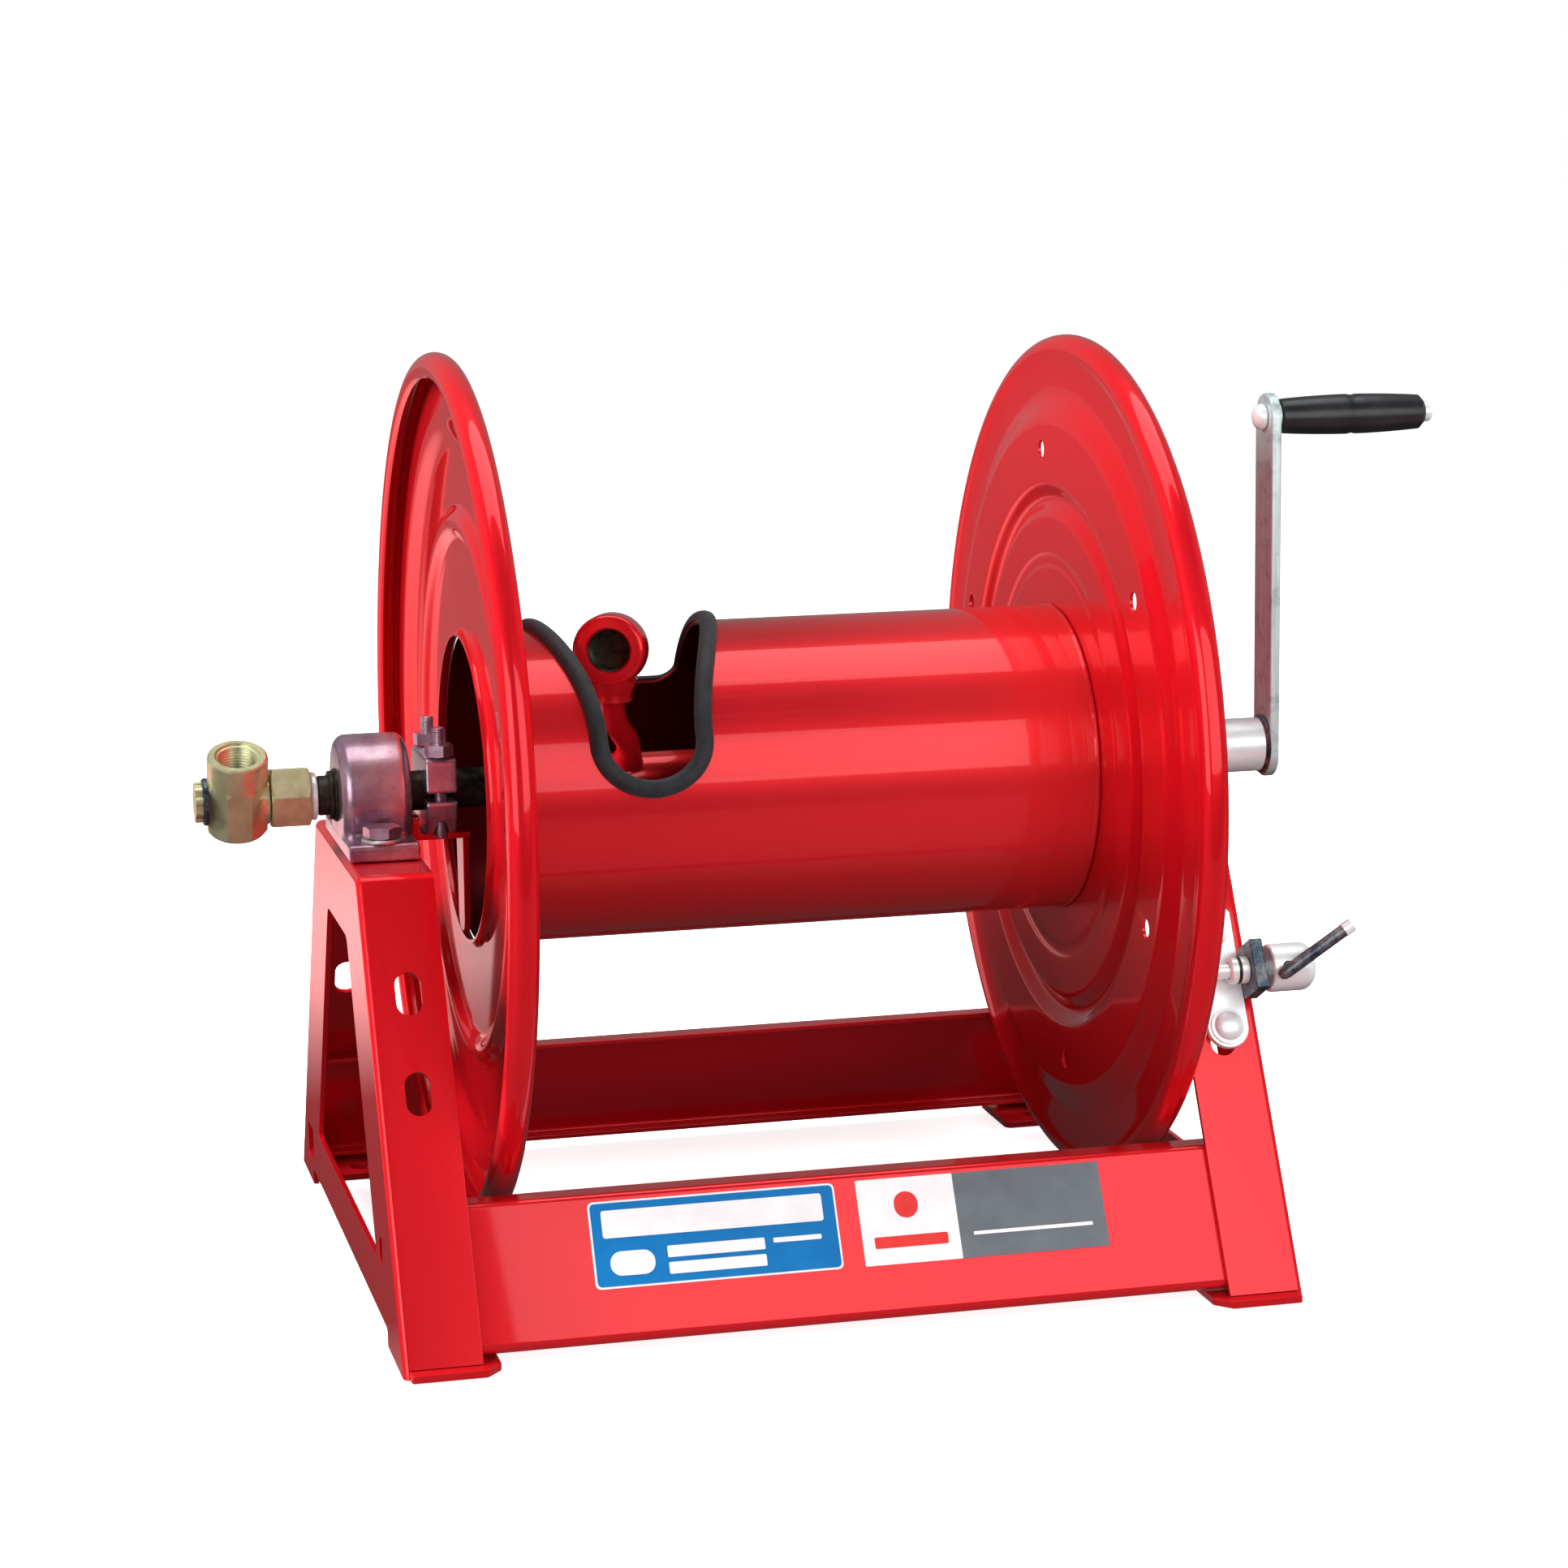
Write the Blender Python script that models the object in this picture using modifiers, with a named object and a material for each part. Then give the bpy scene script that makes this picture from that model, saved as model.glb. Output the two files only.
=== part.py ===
"""Hand-cranked fire hose reel: stamped side frames, ribbed discs, open drum with hose outlet,
inlet swivel, crank with free-turning grip and a spring pin lock. Metres, +Z up, reel axis along X."""
import math

import bmesh
import bpy
from mathutils import Matrix, Vector

MM = 0.001
GAP = 0.3 * MM

# ---------------------------------------------------------------- driving dimensions
AXLE_Z = 224.0 * MM            # height of the reel axis above the floor
FRAME_HALF = 205.5 * MM        # mid-plane to the outer face of a side frame
SHEET = 2.5 * MM               # side frame and channel sheet
FLANGE = 35.0 * MM             # width of the side frame flanges
FOOT_Y = 184.0 * MM            # half depth of a side frame at the floor
SLOPE = 0.5437                 # run of a leg per unit of height
FRAME_TOP = 199.3 * MM
WINDOW_LOW, WINDOW_HIGH = 32.0 * MM, 164.0 * MM
WINDOW_TOP_HALF = 35.0 * MM
RAIL_LOW = 8.0 * MM
FOOT_INNER_Y = 135.0 * MM
PAD_THICK = 3.5 * MM

CHANNEL_LOW, CHANNEL_HIGH = 5.0 * MM, 64.6 * MM
CHANNEL_LIP = 12.0 * MM

DISC_R = 203.2 * MM
DISC_SHEET = 1.8 * MM
LEFT_FACE, RIGHT_FACE = -139.8 * MM, 145.3 * MM     # inner faces of the two discs
DRUM_R = 73.4 * MM
DRUM_WALL = 2.0 * MM
RIM_TUBE = 6.8 * MM            # rolled rim: tube radius, outboard offset and how far it curls
RIM_OFFSET = 10.4 * MM
RIM_START, RIM_TURN = 200.0, 235.0
RIM_POINTS = 7
DISC_STEPS = 48
HOLE_CIRCLE = 148.5 * MM
HOLE_R = 4.6 * MM
HOLE_PHASE = -7.0

CUT_X = -67.5 * MM             # drum cut-out: middle, and its ends in degrees from the top to the front
CUT_REAR, CUT_FRONT = -62.0, 84.2
CUT_WIDE, CUT_NARROW = 42.0 * MM, 24.5 * MM         # half widths at the rear and at the front
TRIM_INSET = 3.0 * MM          # from the middle of the edge trim to the edge of the cut-out

AXLE_R = 12.4 * MM
SLEEVE_R = 13.2 * MM
STUB_R = 9.3 * MM
PORT_R = 9.8 * MM              # bore of the inlet port and of the hose outlet
STUB_LEFT, STUB_RIGHT = -213.0 * MM, -84.0 * MM
BLOCK_IN, BLOCK_OUT = 171.5 * MM, 204.0 * MM
BLOCK_R = 28.0 * MM
BLOCK_HALF_Y = 45.0 * MM
BLOCK_BASE = 8.0 * MM
BUSH_WALL = 3.0 * MM
BOLT_X, BOLT_Y = 187.7 * MM, 36.0 * MM    # bearing bolts, mirrored to both sides

CRANK_R = 161.0 * MM
ARM_X0, ARM_X1 = 253.0 * MM, 258.0 * MM
ARM_WIDTH = 23.0 * MM
GRIP_X0, GRIP_X1 = 260.4 * MM, 335.2 * MM
SPINDLE_R = 3.7 * MM

PIN_Y = -122.5 * MM
PIN_Z = AXLE_Z - math.sqrt(HOLE_CIRCLE ** 2 - PIN_Y ** 2)
PIN_R = 3.6 * MM
LOCK_X = 189.5 * MM
STRAP_THICK = 3.5 * MM
STRAP_WIDTH = 20.0 * MM

BOX_MID_X = 35.10 * MM         # mid-plane of the frame to the middle of the whole object
TILT = math.atan(SLOPE)

# ---------------------------------------------------------------- scene and helpers
for old in list(bpy.data.objects):
    bpy.data.objects.remove(old, do_unlink=True)

parts = bpy.data.collections.new("fire_hose_reel")
bpy.context.scene.collection.children.link(parts)
cutters = bpy.data.collections.new("cutters")
bpy.context.scene.collection.children.link(cutters)

COLOURS = {
    "red_paint": ((0.76, 0.016, 0.030), 0.0, 0.28),
    "zinc": ((0.72, 0.72, 0.74), 1.0, 0.32),
    "dark_steel": ((0.13, 0.15, 0.17), 0.8, 0.42),
    "cast_grey": ((0.52, 0.50, 0.54), 0.7, 0.36),
    "brass": ((0.70, 0.54, 0.30), 1.0, 0.34),
    "black_pipe": ((0.035, 0.035, 0.037), 0.5, 0.45),
    "rubber": ((0.030, 0.040, 0.045), 0.0, 0.62),
    "grip_plastic": ((0.022, 0.022, 0.024), 0.0, 0.38),
    "blue_label": ((0.01, 0.19, 0.47), 0.0, 0.45),
    "white_label": ((0.78, 0.78, 0.79), 0.0, 0.50),
}


def material_for(name, kind):
    colour, metallic, roughness = COLOURS[kind]
    mat = bpy.data.materials.new(name + "_" + kind)
    mat.use_nodes = True
    shader = mat.node_tree.nodes["Principled BSDF"]
    shader.inputs["Base Color"].default_value = (*colour, 1.0)
    shader.inputs["Metallic"].default_value = metallic
    shader.inputs["Roughness"].default_value = roughness
    return mat


def add_object(name, mesh, kind, target=None):
    """Puts a mesh in the scene, as a part or (with target set) as a hidden cutter."""
    obj = bpy.data.objects.new(name, mesh)
    if target is None:
        parts.objects.link(obj)
        mesh.materials.append(material_for(name, kind))
    else:
        target.objects.link(obj)
        obj.hide_render = True
        obj.display_type = "WIRE"
    return obj


def mesh_of(name, bm):
    """Turns a bmesh with outward faces into a mesh."""
    bmesh.ops.remove_doubles(bm, verts=bm.verts, dist=1e-6)
    bmesh.ops.recalc_face_normals(bm, faces=bm.faces)
    mesh = bpy.data.meshes.new(name)
    bm.to_mesh(mesh)
    bm.free()
    return mesh


def place(obj, origin, u, v, w):
    """Sets location and rotation so the local axes lie along u, v and w."""
    turn = Matrix((u, v, w)).transposed()
    obj.location = origin
    obj.rotation_euler = turn.to_euler()
    return obj


def finish(obj, angle=35.0):
    """Applies the modifiers and shades soft below the given edge angle."""
    graph = bpy.context.evaluated_depsgraph_get()
    mesh = bpy.data.meshes.new_from_object(obj.evaluated_get(graph))
    mesh.name = obj.name
    obj.modifiers.clear()
    bm = bmesh.new()
    bm.from_mesh(mesh)
    bmesh.ops.remove_doubles(bm, verts=bm.verts, dist=2e-6)
    bmesh.ops.dissolve_degenerate(bm, edges=bm.edges, dist=2e-6)
    for face in bm.faces:
        face.smooth = True
    for edge in bm.edges:
        sharp = True
        if len(edge.link_faces) == 2:
            sharp = edge.calc_face_angle(0.0) > math.radians(angle)
        edge.smooth = not sharp
    bm.to_mesh(mesh)
    bm.free()
    obj.data = mesh
    return obj


def boolean(obj, tool, operation="DIFFERENCE"):
    mod = obj.modifiers.new(operation.lower(), "BOOLEAN")
    mod.operation = operation
    mod.solver = "EXACT"
    mod.object = tool
    return obj


def soften(obj, width, segments=2, angle=40.0):
    mod = obj.modifiers.new("soft_edges", "BEVEL")
    mod.width = width
    mod.segments = segments
    mod.limit_method = "ANGLE"
    mod.angle_limit = math.radians(angle)
    return obj


def soften_where(obj, width, segments, test):
    """Bevels only the edges for which test(first corner, second corner) holds."""
    mod = obj.modifiers.new("soft_edges", "BEVEL")
    mod.width = width
    mod.segments = segments
    mod.limit_method = "WEIGHT"
    layer = obj.data.attributes.new("bevel_weight_edge", "FLOAT", "EDGE")
    for edge in obj.data.edges:
        a, b = (obj.matrix_basis @ obj.data.vertices[i].co for i in edge.vertices)
        layer.data[edge.index].value = 1.0 if test(a, b) else 0.0
    return obj


def basis(axis):
    """Two directions square to the axis, the first one as near to +Z as it can be."""
    axis = Vector(axis).normalized()
    up = Vector((0, 0, 1)) if abs(axis.z) < 0.9 else Vector((0, -1, 0))
    side = axis.cross(up).normalized()
    up = side.cross(axis).normalized()
    return axis, up, side


def revolve(name, profile, origin, axis, kind, steps=48, closed=False, target=None):
    """Turned shape: (along, radius) points swept about the axis by a Screw modifier."""
    axis, up, side = basis(axis)
    area = sum(a[0] * b[1] - b[0] * a[1] for a, b in zip(profile, profile[1:] + profile[:1]))
    if area < 0:
        profile = profile[::-1]
    bm = bmesh.new()
    verts = [bm.verts.new((radius, 0.0, along)) for along, radius in profile]
    for a, b in zip(verts, verts[1:]):
        bm.edges.new((a, b))
    if closed:
        bm.edges.new((verts[-1], verts[0]))
    mesh = bpy.data.meshes.new(name)
    bm.to_mesh(mesh)
    bm.free()
    obj = place(add_object(name, mesh, kind, target), Vector(origin), up, axis.cross(up), axis)
    mod = obj.modifiers.new("turn", "SCREW")
    mod.axis = "Z"
    mod.angle = 2 * math.pi
    mod.steps = steps
    mod.render_steps = steps
    mod.use_merge_vertices = True
    mod.merge_threshold = 0.000005
    return obj


def rod(name, start, end, radius, kind, chamfer=0.0, steps=20, target=None):
    """Round bar between two points, with an optional chamfer on both ends."""
    start, end = Vector(start), Vector(end)
    axis, up, side = basis(end - start)
    bm = bmesh.new()
    bmesh.ops.create_cone(bm, cap_ends=True, segments=steps, radius1=radius, radius2=radius,
                          depth=(end - start).length)
    middle = (start + end) / 2
    obj = place(add_object(name, mesh_of(name, bm), kind, target), middle, up, axis.cross(up), axis)
    if chamfer:
        soften(obj, chamfer, 1, 60.0)
    return obj


def ring(name, start, end, outer, inner, kind, chamfer=0.0, steps=24, target=None):
    start, end = Vector(start), Vector(end)
    length = (end - start).length
    c = chamfer
    if c:
        profile = [(0, inner), (0, outer - c), (c, outer), (length - c, outer), (length, outer - c),
                   (length, inner)]
    else:
        profile = [(0, inner), (0, outer), (length, outer), (length, inner)]
    return revolve(name, profile, start, end - start, kind, steps, closed=True, target=target)


def prism(name, outline, frame, depth, kind, target=None):
    """Flat outline in the frame's first two directions, given its depth along the third."""
    origin, u, v, w = (Vector(item) for item in frame)
    curve = bpy.data.curves.new(name, "CURVE")
    curve.dimensions = "2D"
    curve.fill_mode = "BOTH"
    curve.extrude = depth / 2
    spline = curve.splines.new("POLY")
    spline.points.add(len(outline) - 1)
    for point, (a, b) in zip(spline.points, outline):
        point.co = (a, b, 0.0, 1.0)
    spline.use_cyclic_u = True
    return from_curve(name, curve, (origin + w * depth / 2, u, v, u.cross(v)), kind, target)


def from_curve(name, curve, frame, kind, target=None):
    """Makes a mesh object from a curve, with its caps welded on."""
    guide = bpy.data.objects.new(name + "_curve", curve)
    cutters.objects.link(guide)
    graph = bpy.context.evaluated_depsgraph_get()
    raw = bpy.data.meshes.new_from_object(guide.evaluated_get(graph))
    bpy.data.objects.remove(guide, do_unlink=True)
    bm = bmesh.new()
    bm.from_mesh(raw)
    bpy.data.meshes.remove(raw)
    bmesh.ops.remove_doubles(bm, verts=bm.verts, dist=1e-6)
    bmesh.ops.dissolve_limit(bm, angle_limit=math.radians(0.2), verts=bm.verts, edges=bm.edges)
    return place(add_object(name, mesh_of(name, bm), kind, target), *frame)


def rounded(points, radius, steps=5):
    """Rounds the corners of a closed outline; radius is one number or one per corner."""
    n = len(points)
    radii = radius if isinstance(radius, (list, tuple)) else [radius] * n
    out = []
    for i in range(n):
        p = Vector(points[i])
        a = (Vector(points[i - 1]) - p)
        b = (Vector(points[(i + 1) % n]) - p)
        r = radii[i]
        if r <= 0:
            out.append((p.x, p.y))
            continue
        angle = a.angle(b)
        reach = min(r / math.tan(angle / 2), a.length * 0.49, b.length * 0.49)
        r = reach * math.tan(angle / 2)
        a.normalize()
        b.normalize()
        centre = p + (a + b).normalized() * (r / math.sin(angle / 2))
        start = p + a * reach - centre
        end = p + b * reach - centre
        turn = math.atan2(start.x * end.y - start.y * end.x, start.dot(end))
        for k in range(steps + 1):
            t = turn * k / steps
            c, s = math.cos(t), math.sin(t)
            out.append((centre.x + start.x * c - start.y * s, centre.y + start.x * s + start.y * c))
    return out


def stadium(width, length, steps=6):
    """Slot outline with its long way along the second direction."""
    r = width / 2
    half = length / 2 - r
    out = []
    for k in range(steps + 1):
        a = math.pi * k / steps
        out.append((r * math.cos(a), half + r * math.sin(a)))
    for k in range(steps + 1):
        a = math.pi + math.pi * k / steps
        out.append((r * math.cos(a), -half + r * math.sin(a)))
    return out


def hexagon(name, start, end, flats, kind, bore=0.0, turn=0.0, target=None):
    """Chamfered six-sided nut or bolt head between two points, with an optional bore."""
    start, end = Vector(start), Vector(end)
    axis, up, side = basis(end - start)
    depth = (end - start).length
    corner = flats / 2 / math.cos(math.pi / 6)
    bm = bmesh.new()
    bmesh.ops.create_cone(bm, cap_ends=True, segments=6, radius1=corner, radius2=corner, depth=depth)
    bmesh.ops.rotate(bm, verts=bm.verts, cent=(0, 0, 0), matrix=Matrix.Rotation(math.radians(turn), 3, "Z"))
    obj = place(add_object(name, mesh_of(name, bm), kind, target), (start + end) / 2, up, axis.cross(up), axis)
    soften(obj, min(depth * 0.09, corner * 0.06), 1, 75.0)
    if bore:
        boolean(obj, rod(name + "_drill", start - axis * 0.002, end + axis * 0.002, bore, kind, steps=20,
                         target=cutters))
    return obj


def box_outline(a0, b0, a1, b1):
    return [(a0, b0), (a1, b0), (a1, b1), (a0, b1)]


def leg_y(z):
    """Distance of the outer leg plane from the middle at a height."""
    return FOOT_Y - SLOPE * z


def X(v):
    return v * MM


# ---------------------------------------------------------------- side frames and feet
YZ = ((0, 1, 0), (0, 0, 1), (1, 0, 0))


def side_frame(tag, sign):
    outer_x = sign * FRAME_HALF
    inward = -sign
    top_half = leg_y(FRAME_TOP)
    outline = rounded([(-FOOT_Y, 0), (FOOT_Y, 0), (top_half, FRAME_TOP), (-top_half, FRAME_TOP)],
                      [0, 0, X(7), X(7)], 4)
    frame = ((outer_x, 0, 0), *YZ[:2], (inward, 0, 0))
    obj = prism("side_frame_" + tag, outline, frame, FLANGE, "red_paint")

    def bend(a, b):
        on_web = abs(a.x - outer_x) < 1e-6 and abs(b.x - outer_x) < 1e-6
        return on_web and max(a.z, b.z) > 1e-6

    soften_where(obj, X(3.0), 2, bend)
    slack = SHEET / math.cos(TILT)
    low = X(-10)
    inner = rounded([(-leg_y(low) + slack, low), (leg_y(low) - slack, low),
                     (leg_y(FRAME_TOP - SHEET) - slack, FRAME_TOP - SHEET),
                     (-leg_y(FRAME_TOP - SHEET) + slack, FRAME_TOP - SHEET)], [0, 0, X(4.5), X(4.5)], 4)
    hollow = prism("hollow_" + tag, inner, ((outer_x + inward * SHEET, 0, 0), *YZ[:2], (inward, 0, 0)),
                   FLANGE, "red_paint", cutters)
    boolean(obj, hollow)
    wide = WINDOW_TOP_HALF + SLOPE * (WINDOW_HIGH - WINDOW_LOW)
    window = rounded([(-wide, WINDOW_LOW), (wide, WINDOW_LOW), (WINDOW_TOP_HALF, WINDOW_HIGH),
                      (-WINDOW_TOP_HALF, WINDOW_HIGH)], [X(3), X(3), X(9), X(9)], 3)
    through = ((outer_x - inward * X(5), 0, 0), *YZ[:2], (inward, 0, 0))
    boolean(obj, prism("window_" + tag, window, through, X(12), "red_paint", cutters))
    step = box_outline(-FOOT_INNER_Y, X(-5), FOOT_INNER_Y, RAIL_LOW)
    boolean(obj, prism("step_" + tag, step, through, X(50), "red_paint", cutters))
    pad_room = box_outline(-FOOT_Y - X(9), X(-5), FOOT_Y + X(9), PAD_THICK + GAP)
    boolean(obj, prism("pad_room_" + tag, pad_room,
                       ((outer_x + inward * (SHEET + GAP), 0, 0), *YZ[:2], (inward, 0, 0)),
                       X(50), "red_paint", cutters))
    small = rounded(box_outline(X(-126), X(34), X(-117), X(46)), X(2), 3)
    boolean(obj, prism("vent_front_" + tag, small, through, X(12), "red_paint", cutters))
    rear = rounded(box_outline(X(131), X(12), X(152), X(29)), X(2), 3)
    boolean(obj, prism("vent_rear_" + tag, rear, through, X(12), "red_paint", cutters))
    slot = stadium(X(11.5), X(20))
    for face in (-1, 1):
        for z in (X(110.5), X(150.8)):
            centre = Vector((sign * X(187), face * leg_y(z), z))
            along = Vector((0, -face * math.sin(TILT), math.cos(TILT)))
            out = Vector((0, face * math.cos(TILT), math.sin(TILT)))
            cut = prism("slot_%s_%d_%d" % (tag, face, round(z * 1000)), slot,
                        (centre - out * X(8), (1, 0, 0), along, out), X(16), "red_paint", cutters)
            boolean(obj, cut)
    for face in (-1, 1):
        hole = rod("seat_hole_%s_%d" % (tag, face), (sign * BOLT_X, face * BOLT_Y, FRAME_TOP - X(9)),
                   (sign * BOLT_X, face * BOLT_Y, FRAME_TOP + X(9)), X(4.6), "red_paint", target=cutters)
        boolean(obj, hole)
    return finish(obj, 30.0)


def foot_pad(name, sign, face):
    """Floor plate welded inside a leg's foot, with one bolt hole."""
    x0 = FRAME_HALF - SHEET - GAP
    x1 = X(162.5)
    y0, y1 = FOOT_INNER_Y + X(1), FOOT_Y + X(5)
    outline = rounded([(x0, y0), (x1, y0), (x1, y1 - X(8)), (x1 + X(7), y1), (x0, y1)],
                      [X(1), X(4), X(2), X(2), X(1)], 3)
    outline = [(sign * a, face * b) for a, b in outline]
    obj = prism(name, outline, ((0, 0, 0), (1, 0, 0), (0, 1, 0), (0, 0, 1)), PAD_THICK, "red_paint")
    hole = rod(name + "_hole", (sign * X(180), face * X(150), X(-5)), (sign * X(180), face * X(150), X(9)),
               X(5.0), "red_paint", steps=32, target=cutters)
    boolean(obj, hole)
    return finish(obj)


for tag, sign in (("left", -1), ("right", 1)):
    side_frame(tag, sign)
    for end, face in (("front", -1), ("rear", 1)):
        foot_pad("foot_pad_%s_%s" % (end, tag), sign, face)


# ---------------------------------------------------------------- cross channels and label panels
def channel(name, face):
    """Bent channel between the legs; its web leans with the legs and both lips point inwards."""
    back = (SHEET + GAP) / math.cos(TILT)
    web = SHEET / math.cos(TILT)

    def outer(z):
        return face * (leg_y(z) - back)

    def inner(z):
        return face * (leg_y(z) - back - web)

    lip_top = face * (leg_y(CHANNEL_HIGH) - back - CHANNEL_LIP)
    lip_low = face * (leg_y(CHANNEL_LOW) - back - CHANNEL_LIP)
    outline = rounded([(outer(CHANNEL_LOW), CHANNEL_LOW), (outer(CHANNEL_HIGH), CHANNEL_HIGH),
                       (lip_top, CHANNEL_HIGH), (lip_top, CHANNEL_HIGH - SHEET),
                       (inner(CHANNEL_HIGH - SHEET), CHANNEL_HIGH - SHEET),
                       (inner(CHANNEL_LOW + SHEET), CHANNEL_LOW + SHEET),
                       (lip_low, CHANNEL_LOW + SHEET), (lip_low, CHANNEL_LOW)],
                      [X(4), X(4), X(0.8), X(0.8), X(1.5), X(1.5), X(0.8), X(0.8)], 4)
    half = FRAME_HALF - SHEET - GAP
    obj = prism(name, outline, ((-half, 0, 0), (0, 1, 0), (0, 0, 1), (1, 0, 0)), 2 * half, "red_paint")
    return finish(obj, 30.0)


channel("cross_channel_front", -1)
channel("cross_channel_rear", 1)


def label_panel(name, x0, x1, kind):
    """Plain adhesive panel on the front channel's web."""
    mid = Vector((0, -(leg_y(X(44.5)) - (SHEET + GAP) / math.cos(TILT)), X(44.5)))
    up = Vector((0, math.sin(TILT), math.cos(TILT)))
    out = Vector((0, -math.cos(TILT), math.sin(TILT)))
    outline = rounded(box_outline(x0, X(-19.5), x1, X(19.5)), X(3), 4)
    obj = prism(name, outline, (mid + out * GAP, (1, 0, 0), up, out), X(0.5), kind)
    return finish(obj)


label_panel("label_panel_left", X(-117.5), X(-5.5), "blue_label")
label_panel("label_panel_right", X(4.5), X(118.5), "white_label")


# ---------------------------------------------------------------- bearing blocks
def bearing(tag, sign):
    x_in, x_out = sign * BLOCK_IN, sign * BLOCK_OUT
    seat = FRAME_TOP + GAP
    drop = AXLE_Z - seat
    outline = [(-BLOCK_HALF_Y, 0), (BLOCK_HALF_Y, 0), (BLOCK_HALF_Y, BLOCK_BASE)]
    side = X(23.5)
    outline.append((side, BLOCK_BASE))
    start = math.asin((drop - BLOCK_BASE - X(1.5)) / BLOCK_R)
    for k in range(15):
        a = -start + (math.pi + 2 * start) * k / 14
        outline.append((BLOCK_R * math.cos(a), drop + BLOCK_R * math.sin(a)))
    outline.append((-side, BLOCK_BASE))
    outline.append((-BLOCK_HALF_Y, BLOCK_BASE))
    low, high = min(x_in, x_out), max(x_in, x_out)
    obj = prism("bearing_block_" + tag, outline, ((low, 0, seat), (0, 1, 0), (0, 0, 1), (1, 0, 0)),
                high - low, "cast_grey")
    cap = seat + BLOCK_BASE + X(1.0)
    soften_where(obj, X(3.0), 2, lambda a, b: abs(a.x - b.x) < 1e-6 and min(a.z, b.z) > cap)
    bore = rod("bore_" + tag, (low - X(5), 0, AXLE_Z), (high + X(5), 0, AXLE_Z),
               (STUB_R if sign < 0 else AXLE_R) + BUSH_WALL + GAP, "cast_grey", steps=32, target=cutters)
    boolean(obj, bore)
    for face in (-1, 1):
        hole = rod("block_hole_%s_%d" % (tag, face), (sign * BOLT_X, face * BOLT_Y, seat - X(5)),
                   (sign * BOLT_X, face * BOLT_Y, seat + X(25)), X(4.6), "cast_grey", target=cutters)
        boolean(obj, hole)
    finish(obj, 32.0)
    shaft = STUB_R if sign < 0 else AXLE_R
    bush = ring("bearing_bush_" + tag, (low - X(1.5), 0, AXLE_Z), (high + X(1.5), 0, AXLE_Z),
                shaft + BUSH_WALL, shaft + GAP, "black_pipe", 0.0, 24)
    finish(bush)
    for end, face in (("front", -1), ("rear", 1)):
        foot = Vector((sign * BOLT_X, face * BOLT_Y, 0))
        top = seat + BLOCK_BASE + GAP
        shank = rod("shank_%s_%s" % (tag, end), foot + Vector((0, 0, seat - X(11))),
                    foot + Vector((0, 0, top + X(2))), X(4.0), "zinc", target=cutters)
        bolt = hexagon("bearing_bolt_%s_%s" % (end, tag), foot + Vector((0, 0, top)),
                       foot + Vector((0, 0, top + X(7))), X(16), "zinc", turn=12)
        boolean(bolt, shank, "UNION")
        finish(bolt)
        nut = hexagon("bearing_nut_%s_%s" % (end, tag), foot + Vector((0, 0, seat - X(10))),
                      foot + Vector((0, 0, FRAME_TOP - SHEET - GAP)), X(13), "zinc", X(4.0) + GAP)
        finish(nut)


bearing("left", -1)
bearing("right", 1)


# ---------------------------------------------------------------- discs and drum
def thick(profile, sheet):
    """Closes an open section line into a sheet of the given thickness."""
    left, right = [], []
    n = len(profile)
    for i, p in enumerate(profile):
        a = Vector(profile[max(i - 1, 0)])
        b = Vector(profile[min(i + 1, n - 1)])
        t = (b - a).normalized()
        normal = Vector((t.y, -t.x))
        left.append(tuple(Vector(p)))
        right.append(tuple(Vector(p) + normal * sheet))
    return left + right[::-1]


def disc(name, face_x, outboard, inner_r, lip):
    """Pressed disc: sheet section turned about the axle, from the centre edge out to the rolled rim."""
    section = [(X(4.5), inner_r), (0.0, inner_r + X(2.0))] if lip else [(0.0, inner_r)]
    section += [(0.0, X(116)), (X(3.8), X(121.5)), (X(3.8), X(126.5)), (0.0, X(132)),
                (0.0, X(160.5)), (X(5.2), X(176)), (X(5.2), X(190))]
    for k in range(RIM_POINTS):
        a = math.radians(RIM_START - RIM_TURN * k / (RIM_POINTS - 1))
        section.append((RIM_OFFSET + RIM_TUBE * math.cos(a), DISC_R - RIM_TUBE + RIM_TUBE * math.sin(a)))
    profile = thick(section, DISC_SHEET)
    return revolve(name, profile, (face_x, 0, AXLE_Z), (outboard, 0, 0), "red_paint", DISC_STEPS, closed=True)


def round_hole(obj, face_x, radius_out, angle, r, tag):
    a = math.radians(angle)
    y, z = -radius_out * math.sin(a), AXLE_Z + radius_out * math.cos(a)
    tool = rod(obj.name + tag, (face_x - X(15), y, z), (face_x + X(15), y, z), r, "red_paint",
               steps=20, target=cutters)
    boolean(obj, tool)


left_disc = disc("disc_left", LEFT_FACE, -1, DRUM_R - DRUM_WALL, True)
for angle, where, r in ((2.0, X(176.2), X(2.0)), (-10.0, X(120.5), X(1.6)), (170.0, X(120.5), X(1.6))):
    round_hole(left_disc, LEFT_FACE, where, angle, r, "_hole_%d" % round(angle + where * 1e4))
finish(left_disc, 40.0)

right_disc = disc("disc_right", RIGHT_FACE, 1, AXLE_R + GAP, False)
for k in range(6):
    round_hole(right_disc, RIGHT_FACE, HOLE_CIRCLE, HOLE_PHASE + 60 * k, HOLE_R, "_lock_%d" % k)
finish(right_disc, 40.0)

drum = ring("drum", (LEFT_FACE + GAP, 0, AXLE_Z), (RIGHT_FACE - GAP, 0, AXLE_Z), DRUM_R,
            DRUM_R - DRUM_WALL, "red_paint", 0.0, DISC_STEPS)


def eased(value):
    value = max(0.0, min(1.0, value))
    return value * value * (3.0 - 2.0 * value)


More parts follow.
